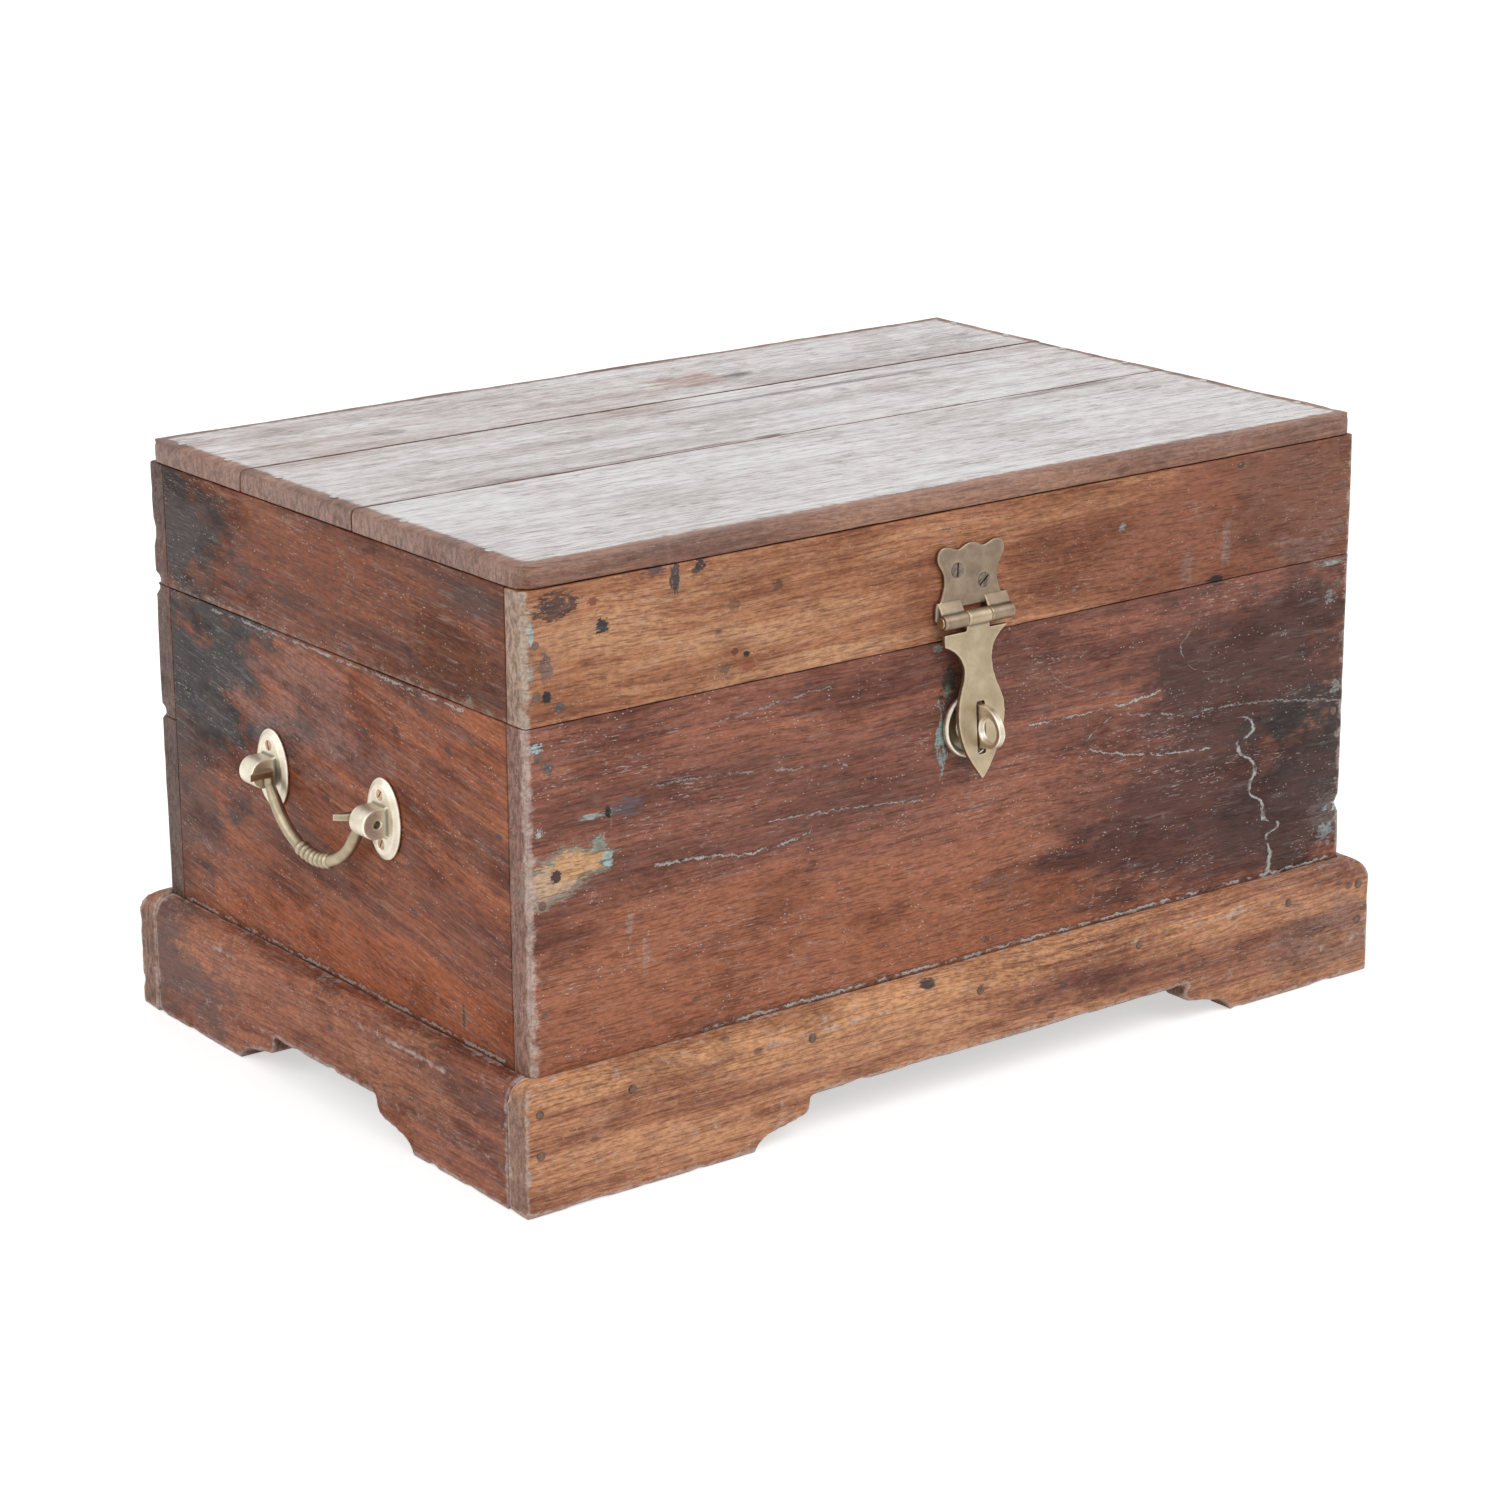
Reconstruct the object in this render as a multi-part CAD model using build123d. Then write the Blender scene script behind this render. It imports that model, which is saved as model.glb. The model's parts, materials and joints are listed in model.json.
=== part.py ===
from build123d import *
import math
import os

# A small dowry chest of old teak boards with brass fittings: a nailed case on a plinth
# with scrolled bracket feet, a boxed lid on two stop hinges, a scrolled hasp that drops
# over a staple, and a drop handle on each end.
#
# X runs along the chest, the front faces -Y and Z is up. Everything is drawn about the
# middle of the case. The saved pieces are moved along Y, so that the origin lies on the
# floor in the middle of the whole footprint. All sizes are in millimetres.

# ---------------------------------------------------------------- driving dimensions

# Case: front and back boards lap the ends of the side boards
case_length = 510.0
case_depth = 331.0
rim_height = 226.0
case_board = 15.0
back_joint_height = 157.0
floor_board = 12.0
floor_underside = 26.0
floor_board_count = 3
corner_wear = 2.0
rim_wear = 1.2

# Lid: a frame of four rails with three planks nailed on top
lid_rail_height = 62.5
lid_rail = 14.0
top_plank = 11.5
front_plank_width = 140.0
middle_plank_width = 101.0
top_corner_radius = 8.0
top_edge_radius = 4.2

# Plinth: the case and its floor drop into a rebate along its upper inner edge
base_height = 63.0
base_board = 16.0
base_projection = 12.0
moulding_height = 11.0
moulding_flat = 0.8
apron_height = 20.5
front_left_foot = 129.0
front_right_foot = 98.0
side_front_foot = 97.0
side_rear_foot = 99.0
bracket_length = 33.0
bracket_toe = 9.5
bracket_toe_rise = 0.67
bracket_step = 5.0
bracket_lobe_radius = 4.5
foot_block = 22.0
foot_block_lift = 3.0

# Hinges: leaves let into the rim and the lid, with a tail that stops the open lid
hinge_inset = 90.0
hinge_length = 50.0
hinge_knuckles = 5
hinge_leaf_width = 11.0
hinge_leaf = 1.5
hinge_leaf_play = 0.1
hinge_knuckle_radius = 2.7
hinge_knuckle_clearance = 0.1
hinge_knuckle_gap = 0.2
hinge_pin_radius = 1.25
hinge_stop_reach = 9.4
hinge_screw_spacing = 17.0
hinge_screw_line = 6.5
pin_clearance = 0.05
pin_head_overhang = 0.9
pin_head = 0.7

# Hasp: a scrolled plate on the lid and a slotted strap that swings on the same pin
hasp_axis_above_rim = 10.5
hasp_axis_out = 5.2
hasp_length = 43.0
hasp_middle_knuckle = 14.2
hasp_knuckle_radius = 3.9
hasp_knuckle_gap = 0.2
hasp_pin_radius = 1.8
hasp_plate = 2.2
hasp_plate_rise = 35.7
hasp_plate_shift = -1.0
hasp_plate_slot = 1.1
hasp_web_rise = 9.0
hasp_strap = 2.6
hasp_strap_clearance = 0.25
hasp_strap_length = 79.5
hasp_shoulder_drop = 6.0
hasp_shoulder_depth = 5.9
hasp_slot_play = 1.5
hasp_slot_side_play = 0.7
hasp_screw_across = 8.2
hasp_screw_rise = 19.7
hasp_screw_stagger = 3.6

# Staple: a cup and a pierced lug on a shank that is riveted inside the case
staple_below_hasp = 54.0
staple_cup_radius = 16.6
staple_cup_height = 3.8
staple_cup_wall = 3.2
staple_cup_floor = 1.2
staple_boss_radius = 9.0
staple_boss_crown = 4.0
staple_boss_height = 6.8
staple_lug = 3.8
staple_lug_height = 23.0
staple_reach = 25.4
staple_hole_radius = 6.2
staple_hole_out = 16.3
staple_shank_radius = 3.0
rove_radius = 7.0
rove = 1.5
rivet_radius = 4.2
rivet_height = 1.2

# Drop handles: two oval plates with lugs and a bail that turns in them
handle_height = 155.5
handle_behind_middle = 3.3
handle_spacing = 101.0
handle_plate_width = 28.5
handle_plate_height = 40.0
handle_plate = 3.0
handle_plate_bevel = 1.8
handle_plate_slope = 3.2
handle_lug_width = 12.5
handle_lug_reach = 16.2
handle_lug_radius = 7.2
handle_axis_out = 8.4
trunnion_radius = 1.9
trunnion_length = 9.0
trunnion_clearance = 0.08
bail_side_play = 0.4
bail_eye_radius = 2.6
bail_eye_depth = 4.0
bail_leg_radius = 2.4
bail_leg_slope = 33.0
bail_grip_radius = 3.1
bail_bead_radius = 4.0
bail_bead_roll = 1.7
bail_bead_pitch = 4.1
bail_bead_count = 7
bail_drop = 31.0
bail_top_flat = 3.0
bail_stop_reach = 12.6
bail_stop_lean = 3.6
bail_stop_thickness = 3.2

# Fasteners: cut nails with small round heads, and slotted countersunk screws
nail_head_radius = 2.2
nail_head = 1.0
nail_radius = 1.2
nail_length = 38.0
top_nail_length = 32.0
base_nail_length = 24.0
case_nail_above_base = 28.0
case_nail_below_joint = 14.0
case_nail_below_rim = 14.0
lid_nail_above_rim = 14.0
base_nail_below_top = 13.5
base_nail_spacing = 104.0
base_lap_nail_spacing = 20.0
hinge_screw = (2.4, 1.1, 10.0)
hasp_screw = (3.8, 1.8, 13.0)
handle_screw = (2.7, 1.4, 15.0)
screw_slot_width = 0.8
screw_slot_depth = 0.9

# ---------------------------------------------------------------- planes worked out once

end = case_length / 2
side = case_depth / 2
base_end = end + base_projection
base_side = side + base_projection
floor_top = floor_underside + floor_board
lid_top = rim_height + lid_rail_height
chest_height = lid_top + top_plank
hinge_axis = side + hinge_knuckle_radius + hinge_knuckle_clearance
beyond = 50.0

back_reach = max(base_side, hinge_axis + hinge_stop_reach)
front_reach = side + staple_reach
to_footprint = Pos(0, (front_reach - back_reach) / 2, 0)

os.makedirs("parts", exist_ok=True)


def save(name, *solids):
    """Write one node, of one solid or of a group of separate ones."""
    placed = [to_footprint * solid for solid in solids]
    export_step(placed[0] if len(placed) == 1 else Compound(children=placed), f"parts/{name}.step")


def board(x_span, y_span, z_span):
    """A squared board that fills the space between two planes on each axis."""
    spans = (x_span, y_span, z_span)
    middle = [(low + high) / 2 for low, high in spans]
    return Pos(*middle) * Box(*[high - low for low, high in spans])


def wall_plane(face, along, height):
    """A plane on an outer face of the chest: x along it, y up and z out of it."""
    if face == "front":
        return Plane(origin=(along, -side, height), x_dir=(1, 0, 0), z_dir=(0, -1, 0))
    sign = {"left": -1, "right": 1}[face]
    return Plane(origin=(sign * end, along, height), x_dir=(0, sign, 0), z_dir=(sign, 0, 0))


def facing(point, outwards):
    """The location of a fastener whose head is at a point and faces outwards."""
    return Plane(origin=point, z_dir=outwards).location


# Across a wall plane, with x out of the wall and y up, for lugs drawn in their own section
across = Plane(origin=(0, 0, 0), x_dir=(0, 0, 1), z_dir=(-1, 0, 0))

# ---------------------------------------------------------------- fasteners


def nail(length):
    """A round-headed nail, its head flush at z = 0 and its shank running down."""
    shank = Pos(0, 0, -length / 2) * Cylinder(nail_radius, length)
    head = Pos(0, 0, -nail_head / 2) * Cylinder(nail_head_radius, nail_head)
    return shank + head


def screw_blank(size):
    """A countersunk screw without its slot, which is also the shape of its hole."""
    head_radius, shank_radius, length = size
    head_depth = head_radius - shank_radius
    outline = Polyline(
        (0, 0),
        (head_radius, 0),
        (shank_radius, -head_depth),
        (shank_radius, -length + 2 * shank_radius),
        (0, -length),
        close=True,
    )
    return revolve(make_face(Plane.XZ * outline), Axis.Z)


def screw(size, slot_angle):
    """A slotted countersunk screw, its head face at z = 0."""
    slot = Pos(0, 0, -screw_slot_depth / 2) * Box(3 * size[0], screw_slot_width, screw_slot_depth)
    return screw_blank(size) - Rot(0, 0, slot_angle) * slot


# ---------------------------------------------------------------- nails of the case


def lap_nails(x, y, heights):
    """Nails through the front and back boards into the ends of the side boards."""
    return [
        facing((sx * x, sy * y, height), (0, sy, 0)) * nail(nail_length)
        for sx in (-1, 1)
        for sy in (-1, 1)
        for height in heights
    ]


case_rows = (
    base_height + case_nail_above_base,
    back_joint_height - case_nail_below_joint,
    rim_height - case_nail_below_rim,
)
case_nails = lap_nails(end - case_board / 2, side, case_rows)

floor_nails = [
    facing((index * base_nail_spacing, sy * (side - case_board / 2), floor_underside), (0, 0, -1))
    * nail(base_nail_length)
    for index in (-1.5, -0.5, 0.5, 1.5)
    for sy in (-1, 1)
]

base_nail_height = base_height - base_nail_below_top
base_nails = [
    facing((index * base_nail_spacing, sy * base_side, base_nail_height), (0, sy, 0))
    * nail(base_nail_length)
    for index in (-2, -1, 0, 1, 2)
    for sy in (-1, 1)
]
base_rows = (base_nail_height - base_lap_nail_spacing, base_nail_height)
base_nails += lap_nails(base_end - base_board / 2, base_side, base_rows)

# ---------------------------------------------------------------- plinth


def moulded_outline(half_width, half_case):
    """Half of the plinth's section: upright, then a worn round moulding in to the case."""
    shoulder = base_height - moulding_height
    top = half_case + moulding_flat
    bulge = (top + 0.7 * (half_width - top), shoulder + 0.7 * moulding_height)
    rise = Line((half_width, 0), (half_width, shoulder))
    moulding = ThreePointArc((half_width, shoulder), bulge, (top, base_height))
    return [rise, moulding, Line((top, base_height), (0, base_height))]


def plinth_prism(plane, half_width, half_case, length):
    """The plinth's section drawn on both sides of the middle and run along the chest."""
    half = moulded_outline(half_width, half_case) + [Line((0, 0), (half_width, 0))]
    edges = half + [edge.mirror(Plane.YZ) for edge in half]
    return extrude(plane * make_face(edges), amount=length, both=True)


def bracket(toe, towards):
    """One scrolled end of an apron opening, from the foot's toe to the apron."""
    step_foot = apron_height - bracket_step
    lobe_height = step_foot - bracket_lobe_radius
    lobe_end = bracket_length - bracket_lobe_radius
    toe_height = bracket_toe_rise * lobe_height

    def at(along, height):
        return (toe + towards * along, height)

    return [
        Line(at(0, -beyond), at(0, 0)),
        ThreePointArc(at(0, 0), at(0.36 * bracket_toe, 0.62 * toe_height), at(bracket_toe, toe_height)),
        Line(at(bracket_toe, toe_height), at(lobe_end, lobe_height)),
        ThreePointArc(
            at(lobe_end, lobe_height),
            at(lobe_end + 0.75 * bracket_lobe_radius, lobe_height + 0.34 * bracket_lobe_radius),
            at(bracket_length, step_foot),
        ),
        Line(at(bracket_length, step_foot), at(bracket_length, apron_height)),
    ]


def apron_opening(plane, first_toe, last_toe, length):
    """The space under an apron, between the toes of its two feet."""
    edges = bracket(first_toe, 1) + bracket(last_toe, -1)
    edges.append(Line((first_toe + bracket_length, apron_height), (last_toe - bracket_length, apron_height)))
    edges.append(Line((first_toe, -beyond), (last_toe, -beyond)))
    return extrude(plane * make_face(edges), amount=length, both=True)


plinth = plinth_prism(Plane.XZ, base_end, end, base_side) & plinth_prism(Plane.YZ, base_side, side, base_end)
rebate = board((-end, end), (-side, side), (floor_underside, base_height + beyond))
front_toes = (-base_end + front_left_foot, base_end - front_right_foot)
side_toes = (-base_side + side_front_foot, base_side - side_rear_foot)
long_opening = apron_opening(Plane.XZ, *front_toes, base_side + beyond)
short_opening = apron_opening(Plane.YZ, *side_toes, base_end + beyond)

base_inner_end = base_end - base_board
base_inner_side = base_side - base_board
all_height = (-beyond, base_height + beyond)
base_places = {
    "base_front_board": ((-base_end, base_end), (-base_side, -base_inner_side), long_opening),
    "base_back_board": ((-base_end, base_end), (base_inner_side, base_side), long_opening),
    "base_left_board": ((-base_end, -base_inner_end), (-base_inner_side, base_inner_side), short_opening),
    "base_right_board": ((base_inner_end, base_end), (-base_inner_side, base_inner_side), short_opening),
}
for name, (x_span, y_span, opening) in base_places.items():
    piece = (plinth & board(x_span, y_span, all_height)) - rebate - opening
    save(name, piece - base_nails)
save("base_nails", *base_nails)

for x_name, sx in (("left", -1), ("right", 1)):
    for y_name, sy in (("front", -1), ("back", 1)):
        block = board(
            sorted((sx * base_inner_end, sx * (base_inner_end - foot_block))),
            sorted((sy * base_inner_side, sy * (base_inner_side - foot_block))),
            (foot_block_lift, floor_underside),
        )
        save(f"foot_block_{y_name}_{x_name}", block)

# ---------------------------------------------------------------- hinges

hinge_middles = {"left": -end + hinge_inset, "right": end - hinge_inset}
knuckle_length = hinge_length / hinge_knuckles


def along_x(radius, x_span, y, z):
    """A round bar along X."""
    low, high = x_span
    return Pos((low + high) / 2, y, z) * Rot(0, 90, 0) * Cylinder(radius, high - low)


def hinge_part(middle, above):
    """One leaf with its knuckles. The lid's leaf is above the rim, the case's is below."""
    way = 1 if above else -1
    near = rim_height + way * hinge_leaf_play
    far = rim_height + way * (hinge_leaf_play + hinge_leaf)
    first = middle - hinge_length / 2
    leaf = board((first, first + hinge_length), (side - hinge_leaf_width, hinge_axis), sorted((near, far)))
    for index in range(hinge_knuckles):
        start = first + index * knuckle_length
        own = index % 2 == (1 if above else 0)
        trim = hinge_knuckle_gap / 2 if own else -hinge_knuckle_gap / 2
        low = start + (trim if index > 0 else 0)
        high = start + knuckle_length - (trim if index < hinge_knuckles - 1 else 0)
        if own:
            leaf += along_x(hinge_knuckle_radius, (low, high), hinge_axis, rim_height)
            if above:
                tail = (hinge_axis, hinge_axis + hinge_stop_reach)
                leaf += board((low, high), tail, sorted((near, far)))
        else:
            clear = (side - hinge_knuckle_gap, hinge_axis + beyond)
            leaf -= board((low, high), clear, (rim_height - beyond, rim_height + beyond))
    bore_span = (first - beyond, first + hinge_length + beyond)
    return leaf - along_x(hinge_pin_radius + pin_clearance, bore_span, hinge_axis, rim_height)


def headed_pin(radius, x_span, y, z):
    """A riveted pin with a small head bearing on each end of its knuckles."""
    low, high = x_span
    pin = along_x(radius, x_span, y, z)
    for head_span in ((low - pin_head, low), (high, high + pin_head)):
        pin += along_x(radius + pin_head_overhang, head_span, y, z)
    return pin


hinge_recesses = []
hinge_screws = {"case": [], "lid": []}
hinge_holes = []
for name, middle in hinge_middles.items():
    span = (middle - hinge_length / 2, middle + hinge_length / 2)
    depth = hinge_leaf_play + hinge_leaf
    recess_heights = (rim_height - depth, rim_height + depth)
    hinge_recesses.append(board(span, (side - hinge_leaf_width, side + beyond), recess_heights))
    case_leaf = hinge_part(middle, above=False)
    lid_leaf = hinge_part(middle, above=True)
    for index in (-1, 0, 1):
        x = middle + index * hinge_screw_spacing
        for owner, way in (("case", -1), ("lid", 1)):
            place = facing((x, side - hinge_screw_line, rim_height + way * hinge_leaf_play), (0, 0, -way))
            hinge_screws[owner].append(place * screw(hinge_screw, 35 * index + 20 * way))
            hinge_holes.append(place * screw_blank(hinge_screw))
    save(f"{name}_hinge_case_leaf", case_leaf - hinge_holes)
    save(f"{name}_hinge_lid_leaf", lid_leaf - hinge_holes)
    save(f"{name}_hinge_pin", headed_pin(hinge_pin_radius, span, hinge_axis, rim_height))
save("hinge_screws_case", *hinge_screws["case"])
save("hinge_screws_lid", *hinge_screws["lid"])

# ---------------------------------------------------------------- drop handles

handle_middle = handle_behind_middle
handle_screw_offset = (handle_lug_radius + handle_plate_height / 2 - handle_plate_slope) / 2
bail_leg_x = handle_spacing / 2 - handle_lug_width / 2 - bail_side_play - bail_eye_radius

# The grip is one arc. Its radius is the one that meets both sloping legs without a corner.
leg_slope = math.radians(bail_leg_slope)
bail_bend = (bail_leg_x - (bail_drop - bail_eye_depth) * math.tan(leg_slope)) / (
    math.cos(leg_slope) - (1 - math.sin(leg_slope)) * math.tan(leg_slope)
)


def handle_plate_part(screw_angles):
    """An oval plate with its lug, in wall coordinates about the lug's middle."""
    oval = extrude(Ellipse(handle_plate_width / 2, handle_plate_height / 2), amount=handle_plate)
    face = oval.faces().sort_by(Axis.Z)[-1]
    oval = chamfer(face.edges(), handle_plate_slope, handle_plate_bevel, reference=face)
    nose_out = handle_lug_reach - handle_lug_radius
    section = Pos(nose_out, 0) * Circle(handle_lug_radius)
    section += Pos(nose_out / 2, 0) * Rectangle(nose_out, 2 * handle_lug_radius)
    lug = extrude(across * section, amount=handle_lug_width / 2, both=True)
    bore_radius = trunnion_radius + trunnion_clearance
    bore = along_x(bore_radius, (-handle_lug_width, handle_lug_width), 0, handle_axis_out)
    piece = oval + lug - bore
    screws = [
        Pos(0, way * handle_screw_offset, handle_plate) * screw(handle_screw, angle)
        for way, angle in zip((1, -1), screw_angles)
    ]
    holes = [
        Pos(0, way * handle_screw_offset, handle_plate) * screw_blank(handle_screw)
        for way in (1, -1)
    ]
    return piece - holes, screws, holes


def bail_part():
    """The swinging handle, in wall coordinates about the middle of its two pivots."""
    swing_plane = Plane(origin=(0, 0, handle_axis_out))
    centre = (0, bail_bend - bail_drop)
    half_sweep = 90 - bail_leg_slope
    grip_line = swing_plane * CenterArc(centre, bail_bend, -90 - half_sweep, 2 * half_sweep)
    start = Plane(origin=grip_line @ 0, z_dir=grip_line % 0)
    bail = sweep(start * Circle(bail_grip_radius), path=grip_line)
    for index in range(bail_bead_count):
        turn = (index - (bail_bead_count - 1) / 2) * bail_bead_pitch / bail_bend
        crown = (bail_bend * math.sin(turn), centre[1] - bail_bend * math.cos(turn), handle_axis_out)
        bead = Torus(bail_bead_radius - bail_bead_roll, bail_bead_roll)
        bail += Plane(origin=crown, z_dir=(math.cos(turn), math.sin(turn), 0)) * bead
    eye_height = bail_top_flat + bail_eye_depth
    lug_face = handle_spacing / 2 - handle_lug_width / 2
    for way in (-1, 1):
        foot = Vector(
            way * bail_bend * math.cos(leg_slope),
            centre[1] - bail_bend * math.sin(leg_slope),
            handle_axis_out,
        )
        head = Vector(way * bail_leg_x, -bail_eye_depth, handle_axis_out)
        run = (head - foot).length
        leg = Pos(0, 0, run / 2) * Cone(bail_grip_radius, bail_leg_radius, run)
        bail += Plane(origin=foot, z_dir=head - foot) * leg
        bail += Pos(*head) * Sphere(bail_eye_radius)
        eye = Rot(90, 0, 0) * Cylinder(bail_eye_radius, eye_height)
        bail += Pos(way * bail_leg_x, bail_top_flat - eye_height / 2, handle_axis_out) * eye
        trunnion = sorted((way * bail_leg_x, way * (lug_face + trunnion_length)))
        bail += along_x(trunnion_radius, trunnion, 0, handle_axis_out)
        bail += bail_stop(way)
    return bail


def bail_stop(way):
    """The pointed stop on a leg: it stands out from the wall and lands on the plate."""
    middle = way * bail_leg_x
    tip = (middle - way * bail_stop_lean, handle_axis_out + bail_stop_reach)
    outer = (middle + way * bail_eye_radius, handle_axis_out)
    inner = (middle - way * bail_eye_radius, handle_axis_out)
    outline = [Line(inner, outer), TangentArc(outer, tip, tangent=(0, 1)), Line(tip, inner)]
    level = Plane(origin=(0, bail_top_flat, 0), x_dir=(1, 0, 0), z_dir=(0, -1, 0))
    return extrude(level * make_face(outline), amount=bail_stop_thickness)


handle_holes = []
for face in ("left", "right"):
    screws = []
    for way in (-1, 1):
        y = handle_middle + way * handle_spacing / 2
        where = "front" if way < 0 else "rear"
        place = wall_plane(face, y, handle_height).location
        plate, plate_screws, holes = handle_plate_part((80 + 25 * way, 40 - 30 * way))
        save(f"{face}_handle_{where}_plate", place * plate)
        screws += [place * each for each in plate_screws]
        handle_holes += [place * each for each in holes]
    save(f"{face}_handle_screws", *screws)
    save(f"{face}_handle_bail", wall_plane(face, handle_middle, handle_height).location * bail_part())

# ---------------------------------------------------------------- staple

hasp_height = rim_height + hasp_axis_above_rim
hasp_place = wall_plane("front", 0, hasp_height).location
staple_place = hasp_place * Pos(0, -staple_below_hasp, 0)

rim_outer = staple_cup_radius - 0.2 * staple_cup_wall
rim_crest = staple_cup_radius - 0.45 * staple_cup_wall
rim_inner = staple_cup_radius - staple_cup_wall
cup_outline = [
    Line((0, 0), (rim_outer, 0)),
    ThreePointArc(
        (rim_outer, 0), (staple_cup_radius, 0.5 * staple_cup_height), (rim_crest, staple_cup_height)
    ),
    Line((rim_crest, staple_cup_height), (rim_inner, staple_cup_floor)),
    Line((rim_inner, staple_cup_floor), (staple_boss_radius, staple_cup_floor)),
    Line((staple_boss_radius, staple_cup_floor), (staple_boss_crown, staple_boss_height)),
    Line((staple_boss_crown, staple_boss_height), (0, staple_boss_height)),
    Line((0, staple_boss_height), (0, 0)),
]
cup = revolve(Plane.XZ * make_face(cup_outline), Axis.Z)

top_of_lug = staple_lug_height / 2
crown_start = (0.45 * staple_reach, top_of_lug)
nose = (staple_reach, -0.06 * top_of_lug)
chin = (0.79 * staple_reach, -0.72 * top_of_lug)
lug_outline = [
    Line((0, -top_of_lug), (0, top_of_lug)),
    Line((0, top_of_lug), crown_start),
    ThreePointArc(crown_start, (0.83 * staple_reach, 0.7 * top_of_lug), nose),
    ThreePointArc(nose, (0.94 * staple_reach, -0.4 * top_of_lug), chin),
    Line(chin, (0, -top_of_lug)),
]
lug = extrude(across * make_face(lug_outline), amount=staple_lug / 2, both=True)
lug_hole = along_x(staple_hole_radius, (-staple_lug, staple_lug), 0, staple_hole_out)
shank_end = case_board + rove + rivet_height
shank = Pos(0, 0, -shank_end / 2) * Cylinder(staple_shank_radius, shank_end)
rivet = Pos(0, 0, rivet_height / 2 - shank_end) * Cylinder(rivet_radius, rivet_height)
save("staple", staple_place * (cup + lug - lug_hole + shank + rivet))

washer = Cylinder(rove_radius, rove) - Cylinder(staple_shank_radius, 2 * rove)
save("staple_rove", staple_place * Pos(0, 0, -case_board - rove / 2) * washer)
staple_hole = staple_place * shank

# ---------------------------------------------------------------- hasp

hasp_bore = along_x(hasp_pin_radius + pin_clearance, (-hasp_length, hasp_length), 0, hasp_axis_out)
half_middle = hasp_middle_knuckle / 2
half_hasp = hasp_length / 2


def scrolled(half_outline):
    """A face from the outline of its right half, mirrored about the middle line."""
    return make_face(half_outline + [edge.mirror(Plane.YZ) for edge in half_outline])


plate_edge = [
    Spline(
        (0, hasp_plate_rise),
        (0.35 * half_hasp, 0.935 * hasp_plate_rise),
        (0.69 * half_hasp, 0.99 * hasp_plate_rise),
        (0.9 * half_hasp, 0.95 * hasp_plate_rise),
        (0.95 * half_hasp, 0.82 * hasp_plate_rise),
        (0.8 * half_hasp, 0.65 * hasp_plate_rise),
        (0.75 * half_hasp, 0.5 * hasp_plate_rise),
        (0.8 * half_hasp, 0.36 * hasp_plate_rise),
        (0.9 * half_hasp, 0.23 * hasp_plate_rise),
        (half_hasp, 0),
        tangents=((1, 0), (0, -1)),
    ),
    Line((half_hasp, 0), (0, 0)),
]
plate = Pos(hasp_plate_shift, 0, 0) * extrude(scrolled(plate_edge), amount=hasp_plate)
web = Polyline(
    (0, 0),
    (0, hasp_web_rise),
    (hasp_plate, hasp_web_rise),
    (hasp_axis_out, hasp_knuckle_radius),
    (hasp_axis_out, 0),
    close=True,
)
for way in (-1, 1):
    knuckle = sorted((way * (half_middle + hasp_knuckle_gap / 2), way * half_hasp))
    plate += along_x(hasp_knuckle_radius, knuckle, 0, hasp_axis_out)
    plate += Pos(sum(knuckle) / 2, 0, 0) * extrude(
        across * make_face(web), amount=(knuckle[1] - knuckle[0]) / 2, both=True
    )
slot_half = half_middle + hasp_knuckle_gap / 2
plate -= board((-slot_half, slot_half), (-beyond, hasp_knuckle_radius + hasp_plate_slot), (-beyond, beyond))
hasp_screw_places = [
    (hasp_plate_shift + way * hasp_screw_across, hasp_screw_rise - way * hasp_screw_stagger)
    for way in (-1, 1)
]
hasp_holes = [Pos(x, y, hasp_plate) * screw_blank(hasp_screw) for x, y in hasp_screw_places]
hasp_screws = [
    Pos(x, y, hasp_plate) * screw(hasp_screw, angle)
    for (x, y), angle in zip(hasp_screw_places, (88, 40))
]
save("hasp_plate", hasp_place * (plate - hasp_bore - hasp_holes))
save("hasp_screws", *[hasp_place * each for each in hasp_screws])

pin_span = (-half_hasp, half_hasp)
save("hasp_pin", hasp_place * headed_pin(hasp_pin_radius, pin_span, 0, hasp_axis_out))

# The strap leans out from its pin until it rests on the boss at the root of the lug
lean_rise = staple_boss_height + hasp_strap_clearance + hasp_strap / 2 - hasp_axis_out
strap_lean = math.asin(lean_rise / (staple_below_hasp - staple_boss_crown))
tongue = half_middle - hasp_knuckle_gap / 2
shoulder_foot = hasp_shoulder_drop + hasp_shoulder_depth


def strap_point(across_share, down_share):
    """A point of the strap's outline, as shares of half the pin's length and of its own."""
    return (across_share * half_hasp, -down_share * hasp_strap_length)


strap_tip = (0, -hasp_strap_length)
left_shoulder = -0.96 * half_hasp
right_shoulder = 0.87 * half_hasp
strap_outline = [
    Polyline(
        (left_shoulder, -shoulder_foot),
        (left_shoulder, -hasp_shoulder_drop),
        (-tongue, -hasp_shoulder_drop),
        (-tongue, 0),
        (tongue, 0),
        (tongue, -hasp_shoulder_drop),
        (right_shoulder, -hasp_shoulder_drop),
    ),
    Spline(
        (right_shoulder, -hasp_shoulder_drop),
        strap_point(0.6, 0.125),
        strap_point(0.45, 0.172),
        strap_point(0.37, 0.26),
        strap_point(0.42, 0.362),
        strap_point(0.53, 0.44),
        strap_point(0.64, 0.51),
        strap_point(0.69, 0.595),
        strap_point(0.64, 0.69),
        strap_point(0.52, 0.78),
        strap_point(0.31, 0.89),
        strap_tip,
    ),
    Spline(
        strap_tip,
        strap_point(-0.25, 0.905),
        strap_point(-0.44, 0.82),
        strap_point(-0.56, 0.735),
        strap_point(-0.625, 0.65),
        strap_point(-0.63, 0.57),
        strap_point(-0.55, 0.455),
        strap_point(-0.46, 0.385),
        strap_point(-0.42, 0.32),
        strap_point(-0.5, 0.25),
        strap_point(-0.72, 0.185),
        (left_shoulder, -shoulder_foot),
    ),
]
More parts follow.
